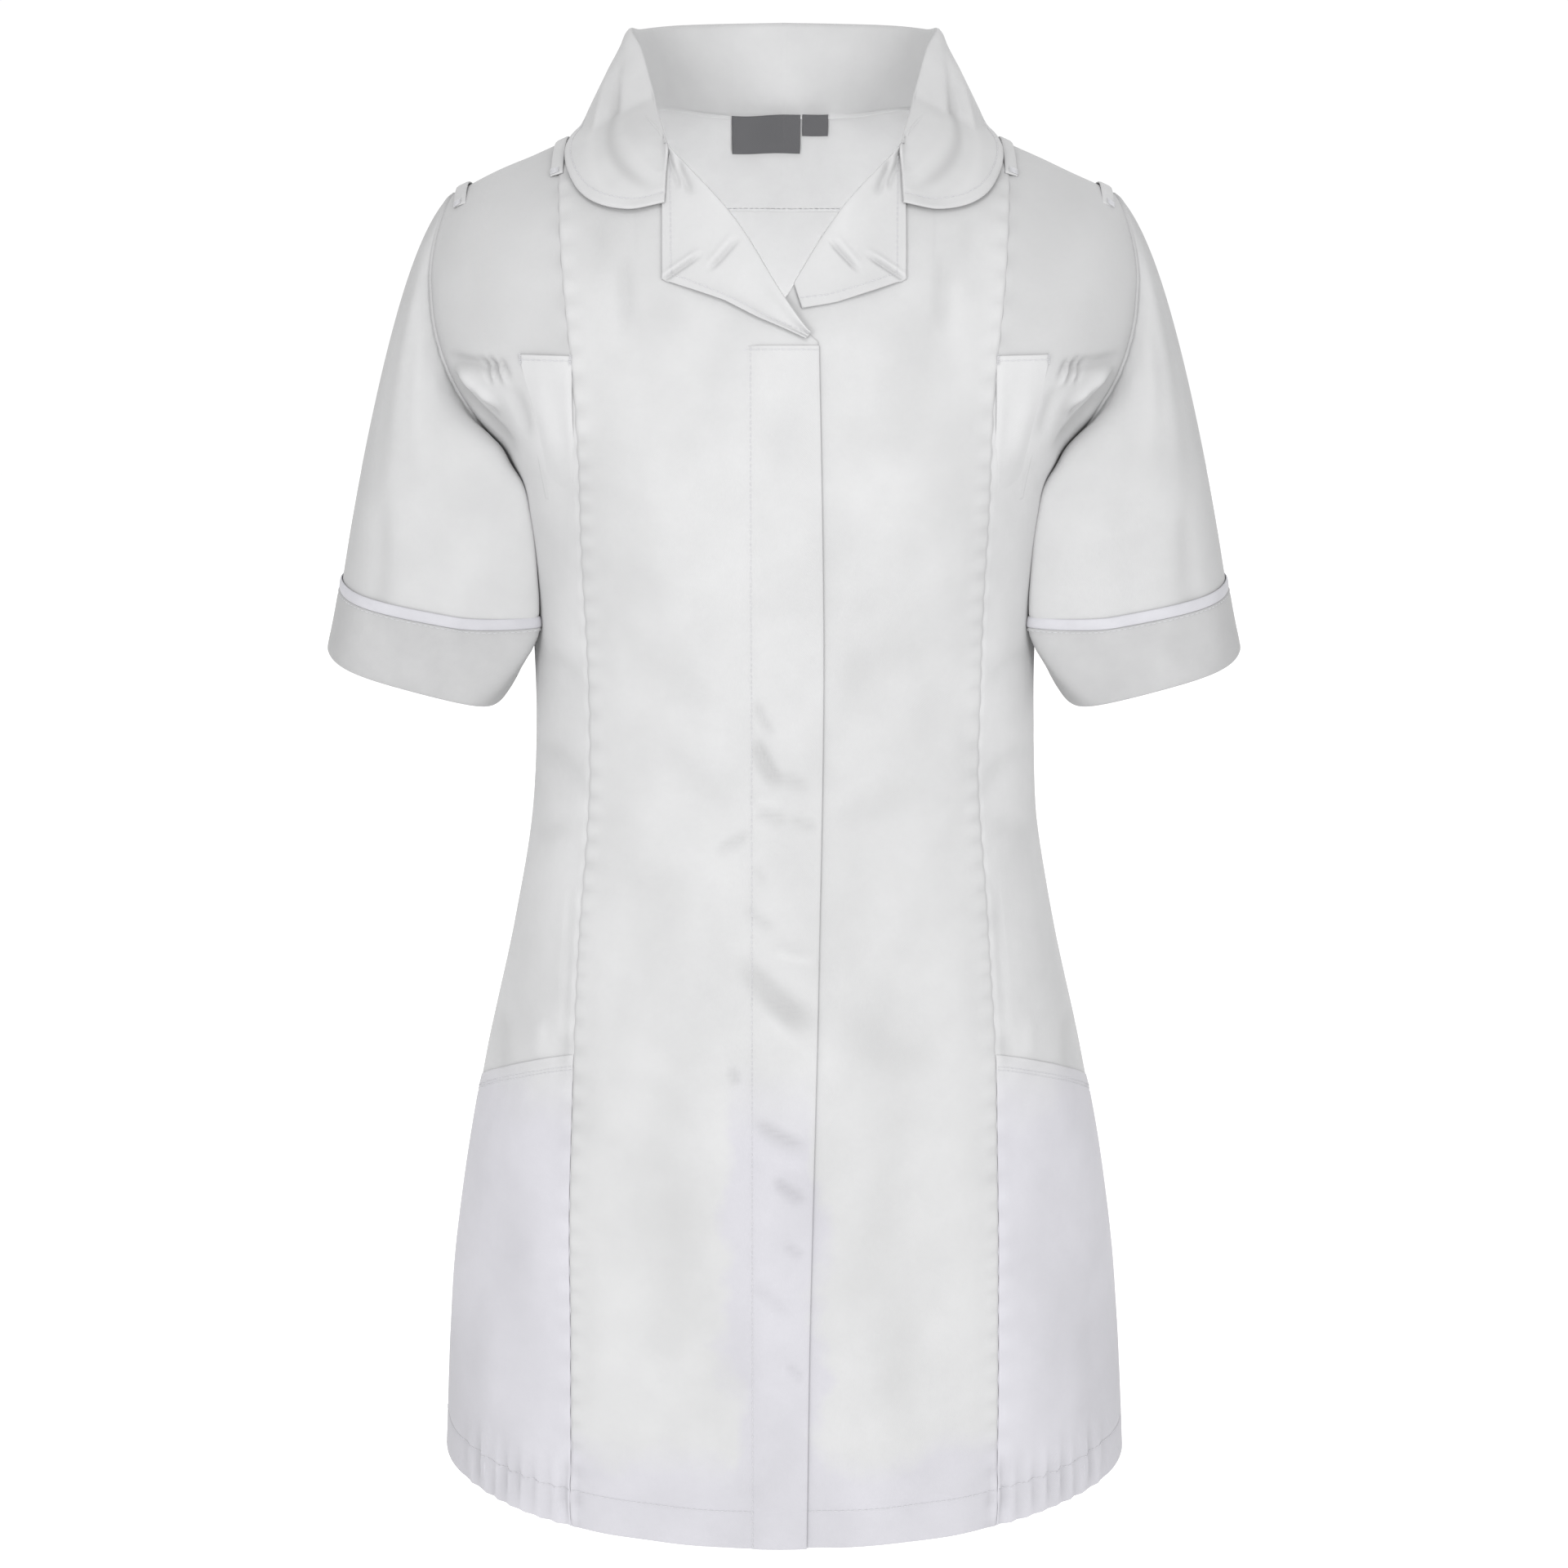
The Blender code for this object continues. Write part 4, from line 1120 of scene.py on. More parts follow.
def make_back():
    half = np.concatenate([np.linspace(0, 1 - 10.5 / BACK_SEAM_X, 30), 1 - BESIDE_SEAM / BACK_SEAM_X])
    u_row = np.concatenate([-half[:0:-1], half])
    top = level_at(BACK, u_row, back_neck_height)
    high = UNDERARM + (top - UNDERARM) * np.linspace(0, 1, 62)[1:, None]
    level = np.vstack([np.repeat(panel_rows()[:, None], len(u_row), 1), high])
    u = np.broadcast_to(u_row, level.shape)
    points, shade = skin(BACK, 1, u, level, centre_edge(u, level)), centre_shade(BACK, 1, u, level)
    sew("back", points, hem_thickness(level), "white", ["back_centre"], fold=shade)


def armhole_levels():
    turn = 1 - np.cos(np.linspace(0, np.pi / 2, 42))
    return np.concatenate([UNDERARM + (CHEST - UNDERARM) * turn, np.linspace(CHEST, SHOULDER, 20)[1:]])


def armhole_ring(u=2.0, inwards=0.0):
    """A ring beside the armhole's edge, from the shoulder tip down the front and up the back."""
    level = armhole_levels()
    front, back = (moved_out(face, np.full(level.shape, u), level, -inwards) for face in (FRONT, BACK))
    return np.vstack([front[::-1], back[1:-1]])


# The sleeve's length, and how wide one degree of its turn is
SLEEVE_DROP, SLEEVE_DEGREE = 130.0, 0.95


def sleeve_rows(angle, ring, down):
    """Rings from the cuff's seam up to the armhole, and the length of each of their columns."""
    cos, sin = np.cos(angle), np.sin(angle)
    start = ring + np.array([0.7, 0, 0])
    start[:, 0] += 0.2 * (1 - cos)
    end = sleeve_ring(angle, -GAP)
    length = np.linalg.norm(end - start, axis=1)[:, None]
    leave = unit(np.stack([0.30 + 0.38 * cos, -0.42 * sin, -0.77 + 0.27 * cos], -1))
    reach = start + leave * length * (0.22 - 0.10 * cos[:, None])
    arrive = end + unit(sleeve_ring(angle, -PIPING_WIDTH) - sleeve_ring(angle, 0)) * length * 0.4
    reach[:, 1] -= 12 * bell(angle, 2.1, 0.5) + 20 * bell(angle, 2.65, 0.36)
    arrive[:, 1] -= 8 * bell(angle, 2.65, 0.36)
    return np.stack([bezier(start, reach, arrive, end, t) for t in down]), length[:, 0]


def sleeve_folds(turn, down):
    total = np.zeros((len(down), len(turn)))
    for fold in SLEEVE_FOLDS:
        run = np.array([(fold.turn1 - fold.turn0) * SLEEVE_DEGREE, (fold.down1 - fold.down0) * SLEEVE_DROP])
        across = (turn[None] - fold.turn0) * SLEEVE_DEGREE
        total += crease_line(across, (down[:, None] - fold.down0) * SLEEVE_DROP, run, fold)
    return total


def make_sleeves():
    ring = armhole_ring()
    angle = ring_angles(ring)
    turn = (np.degrees(angle) + 180) % 360 - 180
    down = np.concatenate([1 - np.linspace(0, 1, 40)[:-1] ** 1.15, [0.012, 0.005, 0]])
    rows, length = sleeve_rows(angle, ring, down)
    share = inner_share(angle)[None] * (ease(1 - down, 0, 0.06) * ease(down, 0, 0.1))[:, None]
    proud = CUFF_PROUD * fade(down, 0.85, 1.0)[:, None]
    rows = beside_body(rows, share, proud)
    normal = outward(grid_normal(rows, True), rows, rows.mean(axis=1, keepdims=True))
    out = sleeve_folds(turn, down)
    # Painted shade and light: the troughs and the sleeve's outer side are darkened, and its inner side by the
    # body is lightened, in the cloth's colour.
    shade = -out + 1.5 * bell(turn, 0, 42.0)[None] - 0.8 * inner_share(angle)[None]
    from_seam = down[:, None] * length[None]
    around = grid_length(closed_up(rows), 1)[-1][:-1]
    beat = np.cos(around * 2 * np.pi / 9.5 + 1.5 * np.sin(around / 27.0))[None]
    out = out * bpy.context.scene.tunic_cloth.crease_depth + 0.25 * beat * bell(from_seam, 3, 5)
    out += 0.3 * bell(from_seam, 4, 4) - 0.4 * bell(from_seam, 0, 1.2)
    out *= ease(1 - down, 0.0, 0.05)[:, None]
    rows = beside_body(rows + normal * out[..., None], 0.0, proud)
    rows = np.concatenate([rows, np.stack([armhole_ring(1.995, 0.9), armhole_ring(1.94, 1.3)])])
    shade = np.concatenate([shade, shade[-2:]])
    cuff, piping = cuff_rows(angle), piping_rows(angle)
    # Painted shade on the cuff's outer side, and painted light on its inner side by the body.
    cuff_shade = np.broadcast_to(1.2 * bell(turn, 0, 30.0) - 1.5 * inner_share(angle), cuff.shape[:2])
    for label, side in SIDES.items():
        tube = {"away_from": SLEEVE_MIDDLE[label], "loop": True}
        name, points = f"sleeve_{label}", mirrored(rows, side)
        sew(f"{name}_cloth", points, SINGLE.thickness, "sleeve", [name], fold=shade, **tube)
        tube["held"] = "stretched"
        name, points = f"cuff_{label}", mirrored(cuff, side)
        sew(f"{name}_band", points, FOLDED.thickness, "cuff", [name], fold=cuff_shade, **tube)
        name, points = f"piping_{label}", mirrored(piping, side)
        sew(f"{name}_fold", points, PIPING.thickness, "trim", [name], slot="piping_trim", **tube)


# Heights of the cuff's rows above its lower edge, and how far in each lies
CUFF_UP = np.array([0, 0.6, 1.6, 3, 6, 10, 15, 20, 25, 29, 32, 33.8, 34.8, 35.5, 35.9])
CUFF_IN = np.array([0.5, 0.15, 0, 0, 0, 0.1, 0.15, 0.15, 0.1, 0, 0, 0.25, 0, 0.15, 0.6])


def cuff_rows(angle):
    cuff = np.stack([sleeve_ring(angle, *row) for row in zip(CUFF_DEPTH - CUFF_UP, CUFF_PROUD - CUFF_IN)])
    wave = 0.3 * np.sin(angle * 3 + 0.7) + 0.2 * np.sin(angle * 5 + 2.0)
    return cuff + (cuff - cuff.mean(axis=1, keepdims=True)) / 50.0 * wave[None, :, None]


def piping_rows(angle):
    trim = PIPING_WIDTH * np.array([-0.02, 0.05, 0.2, 0.4, 0.6, 0.8, 0.93, 1.0])
    rise = 0.65 + 0.75 * np.sin(np.linspace(0.12, np.pi - 0.12, 8)) ** 0.6
    return np.stack([sleeve_ring(angle, -up, proud) for up, proud in zip(trim, rise)])


def smooth_through(rows, count):
    """More rows, on smooth curves through the given ones."""
    length = np.concatenate([[0], np.cumsum(np.linalg.norm(np.diff(rows, axis=0), axis=-1).mean(axis=1))])
    at = np.linspace(0, length[-1], count)
    k = np.clip(np.searchsorted(length, at, side="right") - 1, 0, len(length) - 2)
    width = (length[k + 1] - length[k])[:, None, None]
    t = (at - length[k])[:, None, None] / width
    return curve(rows, np.gradient(rows, length, axis=0), k, width, t)


# The leaf's run round half the neck, and its drop
LEAF_ROUND, LEAF_DROP = 230.0, 72.0


def leaf_folds(shares, down):
    total = np.zeros(down.shape)
    for row in LEAF_FOLDS:
        run = np.array([(row.along1 - row.along0) * LEAF_ROUND, (row.down1 - row.down0) * LEAF_DROP])
        along = (shares[None] - row.along0) * LEAF_ROUND
        total += crease_line(along, (down - row.down0) * LEAF_DROP, run, row)
    return total


def make_collar():
    path, along = neck_path()
    shares = np.concatenate([[0, 0.004, 0.012, 0.024], np.linspace(0.04, 1, 96)])
    seam = np.stack([np.interp(shares, along, path[:, k]) for k in range(3)], -1)
    fold, leaf = (
        np.stack([read(COLLAR, f"{part}_{axis}", shares) for axis in "xyz"], -1) for part in ("fold", "leaf")
    )
    half = smooth_through(np.stack([collar_section(*ends) for ends in zip(seam, fold, leaf)], 1), 52)
    run = grid_length(half, 0)
    down = np.clip((run - run[-1] * 0.42) / (run[-1] * 0.58), 0, 1)
    on_leaf = ease(down, 0.02, 0.25)
    out = leaf_folds(shares, down)
    # Painted shade in the leaf's troughs, and painted highlight on its ridges.
    shade = -out * on_leaf
    out -= 0.25 * bell(run[-1] - run, 5.5, 1.2)
    inwards = grid_normal(half, False) * (out * on_leaf)[..., None]
    half = half - inwards * bpy.context.scene.tunic_cloth.crease_depth
    share = ease(np.arange(len(half)), 7, 27)[:, None, None]
    half = half + (clear_of_body(half, FOLDED.thickness + 1.6) - half) * share
    whole = np.concatenate([mirrored(half, -1), half[:, :-1][:, ::-1]], 1)
    shade = np.concatenate([shade, shade[:, :-1][:, ::-1]], 1)
    far_behind = whole.mean(axis=(0, 1)) - grid_normal(whole, False).mean(axis=(0, 1)) * FAR
    sew("collar_cloth", whole, FOLDED.thickness, "collar", ["collar"], far_behind, fold=shade)


def lapel_grid(rows, shares, per_row=24):
    knots = np.arange(len(rows))
    at = np.linspace(0, knots[-1], per_row * knots[-1] + 1)
    roll_x, edge_x, edge_z = (np.interp(at, knots, [row[k] for row in rows]) for k in range(3))
    edge = np.stack([edge_x, edge_z], -1)
    roll = np.stack([roll_x, read(FRONT_NECK, "z", roll_x)], -1)
    across = roll[None] + (edge - roll)[None] * shares[:, None, None]
    return across[..., 0], across[..., 1], at


# How far a lapel stands off the front, and the height of its roll
LAPEL_LIFT, LAPEL_ROLL = 2.2, 3.0


def make_lapels():
    shares = np.concatenate([np.linspace(0, 0.16, 8), np.linspace(0.18, 0.95, 44), [0.965, 0.985, 1.0]])
    roll = LAPEL_ROLL * bell(shares, 0, 0.22)[:, None]
    for label, rows in (("right", RIGHT_LAPEL), ("left", LEFT_LAPEL)):
        x, z, at = lapel_grid(rows, shares)
        u, level = place_at(FRONT, x, z)
        if label == "right":
            lift = LAPEL_LIFT + roll + 1.5 * ease(shares, 0.55, 1)[:, None] * ease(at, 3, 4.5)[None]
        else:
            lift = LAPEL_LIFT + roll * ease(x, 8.0, 34.0) + lap_step(x)
            lift = lift + 1.0 * ease(shares, 0.6, 1)[:, None] * ease(at, 3, 4)[None] * ease(x, 26, 40)
        points = skin(FRONT, SIDES[label], u, level, lift, LAPEL_CREASES)
        sew(
            f"lapel_{label}_turned", points, FOLDED.thickness * 0.8, "collar", [f"lapel_{label}"],
            NECK_MIDDLE, "folded", fold=painted_fold_shade(FRONT, SIDES[label], u, level, LAPEL_CREASES),
        )


def make_closure():
    upper = np.linspace(UNDERARM, PLACKET_TOP - 3, 25)[1:]
    level = np.concatenate([panel_rows(), upper, PLACKET_TOP - np.array([2, 1.2, 0.6, 0])])[:, None]
    edge = read(LAP_EDGE, "x", level) + 0.6
    near, far = [0, 0.3, 0.8, 1.6, 2.6], [28.2, 29, 29.6, 30.2, 31.0]
    run = np.concatenate([near, np.linspace(4.0, 27, 18), far])[None]
    sewn_x = STITCH_X + 3.0
    x = -edge + run / far[-1] * (sewn_x + edge)
    u = x / read(PRINCESS, "x", level)
    out = PLACKET.out - (1.1 * fade(sewn_x - x, 0, 9.0) + 0.3 * fade(x + edge, 0, 1.0))
    out += 0.2 * np.cos(level / 2.4 + 1.2 * np.sin(level / 17.0)) * bell(STITCH_X - x, 3, 3.0)
    sew(
        "fly_strip", skin(FRONT, -1, u, level, out), PLACKET.thickness, "white", ["placket"],
        held="laid", rests_on=["front_right"], fold=painted_fold_shade(FRONT, -1, u, level),
    )
    level = np.arange(ZIP_END, ZIP_TOP, 6.0)[:, None]
    u = ZIP_WIDTH / 2 / read(PRINCESS, "x", level) * np.linspace(-1, 1, 9)[None]
    sew(
        "zip_tape_cloth", skin(FRONT, 1, u, level, ZIP_TAPE.out), ZIP_TAPE.thickness, "tape", ["front_zip"],
        rests_on=["front_left"], slot="zip_tape",
    )


def pen_pocket_grid():
    down = np.concatenate([[0, 0.006, 0.014], np.linspace(0.03, 0.9, 30), np.linspace(0.92, 1, 6)])
    down = down[::-1, None]
    span = np.concatenate([[0, 0.02, 0.05, 0.1], np.linspace(0.16, 0.9, 12), [0.95, 0.98, 1.0]])[None]
    top_x, end_x = (PEN_POCKET_X + width * span for width in PEN_POCKET_WIDTHS)
    z = PEN_POCKET_TOP + (PEN_POCKET_END - PEN_POCKET_TOP) * down
    u, level = place_at(FRONT, top_x + (end_x - top_x) * down, z)
    out = PEN_POCKET.out - 1.05 * ease(down, 0.35, 1.0) + 0.7 * fade(down, 0, 0.15) * np.sin(np.pi * span)
    out = out - 0.7 * fade(span * 26, 0, 2.4)
    out = out - (out - 0.03) * ease(span * 26, 15, 26) * ease(down, 0.0, 0.16)
    return u, level, out + 0.35 * np.sin(span * 9 + down * 5) * bell(down, 0.45, 0.3), down


def make_pockets():
    pen_u, pen_level, pen_out, pen_down = pen_pocket_grid()
    level, u, out, thickness = hip_pocket_grid()
    for label, side in SIDES.items():
        laid = {"held": "laid", "rests_on": [f"side_front_{label}"]}
        points = skin(FRONT, side, pen_u, pen_level, pen_out)
        # Painted shade in the troughs, and a painted highlight that is brightest at the mouth and gone
        # towards the bottom.
        laid["fold"] = painted_fold_shade(FRONT, side, pen_u, pen_level) + 0.5 * ease(pen_down, 0.3, 0.95) - 0.5
        sew(f"pen_pocket_{label}_cloth", points, PEN_POCKET.thickness, "pen", [f"pen_pocket_{label}"], **laid)
        points = skin(FRONT, side, u, level, out)
        # Painted shade in the troughs, beside the princess seam and at the lower outer corner.
        laid["fold"] = painted_fold_shade(FRONT, side, u, level) + seam_shade(level, u) + corner_shade(level, u)
        sew(f"hip_pocket_{label}_cloth", points, thickness, "pocket", [f"hip_pocket_{label}"], **laid)


def hip_pocket_grid():
    near, far = [1.004, 1.012, 1.02, 1.035, 1.055], [1.93, 1.955, 1.975, 1.988, 1.998]
    u = np.concatenate([near, np.linspace(1.085, 1.9, 24), far])[None]
    mouth = HIP_MOUTH_FRONT + (HIP_MOUTH_SIDE - HIP_MOUTH_FRONT) * (u - 1) ** 1.15
    rows = panel_rows()
    below = rows[rows < HIP_MOUTH_SIDE - 30]
    rise = np.concatenate([np.linspace(0, 0.86, 16)[1:], [0.89, 0.92, 0.945, 0.965, 0.98, 0.99, 1.0]])
    rise = rise[:, None]
    lower = np.broadcast_to(below[:, None], (len(below), u.shape[1]))
    level = np.vstack([lower, below[-1] + (mouth - below[-1]) * rise])
    u = np.broadcast_to(u, level.shape)
    from_mouth = mouth - level
    out = HIP_POCKET.out - 0.75 * fade((u - 1) * SIDE_WIDTH, 0, 3.0)
    out = out - 0.6 * fade((2 - u) * SIDE_WIDTH, 0, 2.5)
    out = out + 0.3 * fade(from_mouth, 0, 10) * np.sin(np.pi * np.clip(u - 1, 0, 1))
    out = out - 0.4 * fade(from_mouth, 0, 7)
    out = out - 0.35 * bell(from_mouth, 8, 1.2) + 0.12 * np.cos(u * SIDE_WIDTH / 1.7) * bell(from_mouth, 8, 5)
    return level, u, out, HIP_POCKET.thickness - 0.28 * fade(from_mouth, 0, 7)


LABELS = table(
    "name node left right end",
    ("main_label", "neck_label", -28.6, 9.0, 5.2),
    ("size_tab", "size_label", 10.4, 24.0, 14.2),
)


def make_facing_and_labels():
    half = np.linspace(0, 0.86, 30)
    u = np.concatenate([-half[:0:-1], half])
    top = level_at(BACK, u, back_neck_height)
    low = level_at(BACK, u, lambda x: np.full(np.shape(x), FACING_END))
    points = skin(BACK, 1, u, low + (top - GAP - low) * np.linspace(0, 1, 24)[:, None], FACING.out)
    sew(
        "neck_facing", points, FACING.thickness, "white", ["back_neck_facing"], NECK_MIDDLE,
        rests_on=["back"],
    )
    for label in LABELS:
        x = np.linspace(label.left, label.right, 27)[None]
        z = np.linspace(label.end, LABEL_TOP, 17)[:, None]
        curl = 0.8 * ((LABEL_TOP - z) / 20.0) ** 2 + 0.25 * np.sin((x - label.left) / 5.0)
        points = skin(BACK, 1, *place_at(BACK, x, z), LABEL_TAPE.out - curl)
        sew(
            label.name, points, LABEL_TAPE.thickness, "label", [label.node], NECK_MIDDLE,
            rests_on=["neck_facing"], slot="label_tape",
        )


def make_shoulder_loops():
    places = [(FRONT, level) for level in np.linspace(-3, SHOULDER - 0.01, 20)]
    places += [(BACK, level) for level in np.linspace(SHOULDER - 4, 18, 9)]
    across = np.array([-0.5, -0.46, -0.36, -0.15, 0.15, 0.36, 0.46, 0.5])
    for loop in LOOPS:
        x = loop.x + LOOP_WIDTH * across
        rows = []
        for (face, value), arch in zip(places, np.sin(np.linspace(0, np.pi, len(places)))):
            level = np.full(x.shape, value)
            out = STRAP.out + loop.rise * arch - 0.25 * (np.abs(across) > 0.45)
            rows.append(moved_out(face, column_at(face, x, level), level, out))
        for label, side in SIDES.items():
            sew(
                f"epaulette_loop_{loop.name}_{label}", mirrored(np.stack(rows), side), STRAP.thickness,
                "white", [f"shoulder_loop_{loop.name}_{label}"], SHOULDER_MIDDLE[label], "stretched",
                [f"side_front_{label}"],
            )


def stitch_shape():
    """One stitch, from a small sphere turned on to x, as vertices and faces."""
    bpy.ops.object.select_all(action="DESELECT")
    bpy.ops.mesh.primitive_uv_sphere_add(segments=6, ring_count=4, radius=0.5)
    mesh = bpy.context.active_object.data
    verts = np.array([v.co[:] for v in mesh.vertices])[:, [2, 0, 1]]
    faces = [list(p.vertices) for p in mesh.polygons]
    bpy.ops.object.delete()
    return verts, faces


Stitch = namedtuple("Stitch", "centre along up length")


def stitches_along(line, normals, out=0.15, share=0.8, closed=False):
    """Stitches at the chosen pitch on a line of points, a little above the cloth."""
    if closed:
        line, normals = np.vstack([line, line[:1]]), np.vstack([normals, normals[:1]])
    run = run_along(line)
    count = max(int(run[-1] / (bpy.context.scene.tunic_stitching.pitch / MM)), 1)
    middles = (np.arange(count) + 0.5) * run[-1] / count
    half = run[-1] / count * share / 2

    def at(values, places):
        return np.stack([np.interp(places, run, values[:, k]) for k in range(3)], -1)

    start, end = at(line, middles - half), at(line, middles + half)
    up = unit(at(normals, middles))
    return Stitch(at(line, middles) + up * out, unit(end - start), up, np.linalg.norm(end - start, axis=1))


def sew_threads(name, runs):
    """Joins many stitches into one piece of thread."""
    verts, faces = stitch_shape()
    radius = bpy.context.scene.tunic_stitching.thickness / MM
    all_verts, all_faces, start = [], [], 0
    for run in runs:
        side = unit(np.cross(run.up, run.along))
        up = np.cross(run.along, side)
        for centre, along, across, rise, length in zip(run.centre, run.along, side, up, run.length):
            basis = np.stack([along * length, across * radius, rise * radius * 0.8])
            all_verts.append(centre + verts @ basis)
            all_faces.extend([[v + start for v in face] for face in faces])
            start += len(verts)
    mesh = bpy.data.meshes.new(name)
    mesh.from_pydata((np.concatenate(all_verts) * MM).tolist(), [], all_faces)
    mesh.uv_layers.new(name="flat cloth")
    mesh.shade_smooth()
    obj = link(name, mesh, finish_for("thread"))
    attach(obj, "root")


def line_from_edge(piece, edge, distance):
    """Points and normals at a distance in from one edge of a sewn piece's grid."""
    points, normals = sewn[piece]
    if edge in ("left", "right"):
        points, normals = points.transpose(1, 0, 2), normals.transpose(1, 0, 2)
    if edge in ("top", "right"):
        points, normals = points[::-1], normals[::-1]
    run = grid_length(points, 0)
    share = np.array([np.interp(distance, run[:, c], np.arange(len(run))) for c in range(run.shape[1])])
    low = np.clip(share.astype(int), 0, len(run) - 2)
    part = (share - low)[:, None]
    columns = np.arange(run.shape[1])

    def between(values):
        return values[low, columns] * (1 - part) + values[low + 1, columns] * part

    return between(points), unit(between(normals))


def outward(normals, points, away_from):
    """The normals, or their opposites where they face a place inside."""
    return normals if np.sum(normals * (points - np.array(away_from))) > 0 else -normals


def edge_stitches(piece, edge, distance, away_from=INSIDE, **options):
    """A line of stitches at a distance in from one edge of a piece."""
    line, normals = line_from_edge(piece, edge, distance)
    return stitches_along(line, outward(normals, line, away_from), **options)


def bartack(centre, along, up, width, depth, rows=7):
    """A dense block of short stitches."""
    across = unit(np.cross(up, along))
    steps = (np.arange(rows) / (rows - 1) - 0.5) * depth
    middles = centre[None] + along[None] * steps[:, None] + up[None] * 0.35
    whole = np.ones((rows, 1))
    return Stitch(middles, whole * across[None], whole * up[None], np.full(rows, width))


# How far in from its piece's edge each line of stitches runs
FLY_STITCH, FLY_TOP_STITCH = 4.2, 2.0
COLLAR_STITCH, LAPEL_STITCH = 5.5, 5.0
HIP_MOUTH_STITCHES = (8.0, 6.2)
PEN_MOUTH_STITCH, PEN_TACK_IN = 2.4, 1.8
CUFF_STITCH, FACING_STITCH = 1.6, 1.6

# Width and depth of the bartacks, and the width of a zip tooth
PEN_TACK, LOOP_TACK = (1.6, 4.5), (5.6, 4.0)
TOOTH_WIDTH = 4.6


def pen_tacks(label):
    """Bartacks at both ends of a pen pocket's mouth."""
    line, normals = line_from_edge(f"pen_pocket_{label}_cloth", "top", PEN_TACK_IN)
    ups = outward(normals, line, INSIDE)
    tacks = []
    for k in (1, -2):
        along = unit(np.cross(ups[k], unit(line[k + 1] - line[k])))
        tacks.append(bartack(line[k] + ups[k] * 0.1, along, ups[k], *PEN_TACK))
    return tacks


def loop_tacks(loop, label):
    """Bartacks at both ends of a shoulder loop."""
    points, normals = sewn[f"epaulette_loop_{loop.name}_{label}"]
    middle = points.shape[1] // 2
    ups = outward(normals, points, SHOULDER_MIDDLE[label])
    tacks = []
    for row in (1, -2):
        along = unit(points[row + 1, middle] - points[row, middle])
        tacks.append(bartack(points[row, middle], along, ups[row, middle], *LOOP_TACK, rows=8))
    return tacks


def make_threads():
    fronts = [edge_stitches(name, "bottom", HEM_TURN) for name in ("front_right", "front_left", "back")]
    backs = [edge_stitches(f"side_back_{label}", "bottom", HEM_TURN) for label in SIDES]
    hips = [edge_stitches(f"hip_pocket_{label}_cloth", "bottom", HEM_TURN) for label in SIDES]
    sew_threads("hem_stitches", fronts + backs + hips)
    edge = edge_stitches("fly_strip", "right", FLY_STITCH, share=0.7)
    sew_threads("fly_stitches", [edge, edge_stitches("fly_strip", "top", FLY_TOP_STITCH)])
    collar = [edge_stitches("collar_cloth", "top", COLLAR_STITCH, (0, 20, 40))]
    for label in SIDES:
        collar.append(edge_stitches(f"lapel_{label}_turned", "top", LAPEL_STITCH, NECK_MIDDLE, share=0.75))
    sew_threads("collar_stitches", collar)
    pockets = []
    for label in SIDES:
        pockets += [edge_stitches(f"hip_pocket_{label}_cloth", "top", down) for down in HIP_MOUTH_STITCHES]
        pockets.append(edge_stitches(f"pen_pocket_{label}_cloth", "top", PEN_MOUTH_STITCH))
        pockets += pen_tacks(label)
    sew_threads("pocket_stitches", pockets)
    loops = []
    for loop in LOOPS:
        for label in SIDES:
            loops += loop_tacks(loop, label)
    sew_threads("loop_bartacks", loops)
    cuffs = []
    for label, middle in SLEEVE_MIDDLE.items():
        cuffs.append(edge_stitches(f"cuff_{label}_band", "top", CUFF_STITCH, middle, closed=True))
    sew_threads("cuff_stitches", cuffs)
    line, normals = line_from_edge("neck_facing", "bottom", FACING_STITCH)
    sew_threads("neck_stitches", [stitches_along(line, outward(-normals, line, (0, 300, 0)), out=0.6)])


def make_zip_teeth():
    """Coil teeth down the middle of the tape, which the fly strip hides."""
    points, normals = sewn["zip_tape_cloth"]
    middle = points.shape[1] // 2
    run = stitches_along(points[:, middle], outward(normals, points, INSIDE)[:, middle], out=0.25, share=0.45)
    across = unit(np.cross(run.up, run.along))
    sew_threads("zip_teeth", [Stitch(run.centre, across, run.up, np.full(len(across), TOOTH_WIDTH))])


SENSOR_WIDTH = 36.0


def make_camera():
    view = bpy.context.scene.tunic_stage
    tilt = view.camera_height
    camera = bpy.data.cameras.new("Camera")
    camera.lens = view.lens
    camera.sensor_width = SENSOR_WIDTH
    obj = link("Camera", camera)
    back = Vector((0, -np.cos(tilt), np.sin(tilt)))
    obj.location = Vector((0, 0, view.target_height)) + back * view.camera_distance
    obj.rotation_euler = (np.pi / 2 - tilt, 0, 0)
    bpy.context.scene.camera = obj


LAMPS = table(
    "name x y z width height share",
    ("Soft key", -0.2, -2.6, 1.6, 1.2, 0.9, 0.56),
    ("Right softbox", -1.2, -2.75, 0.15, 0.9, 1.2, 0.68),
    ("Left softbox", 1.2, -2.75, 0.15, 0.9, 1.2, 0.68),
    ("Back light", 0.2, 2.6, 2.0, 2.4, 1.4, 0.3),
)
NECK_LAMP_PLACE, NECK_LAMP_TURN, NECK_LAMP_SIZE = (0, -0.05, -0.2), (np.radians(98), 0, 0), (0.22, 0.12)


def add_lamp(name, place, turn, size, power):
    """A soft rectangle of light, which the camera doesn't see."""
    light = bpy.data.lights.new(name, "AREA")
    light.shape = "RECTANGLE"
    light.size, light.size_y = size
    light.energy = power
    obj = link(name, light)
    obj.location, obj.rotation_euler = place, turn
    obj.visible_camera = False


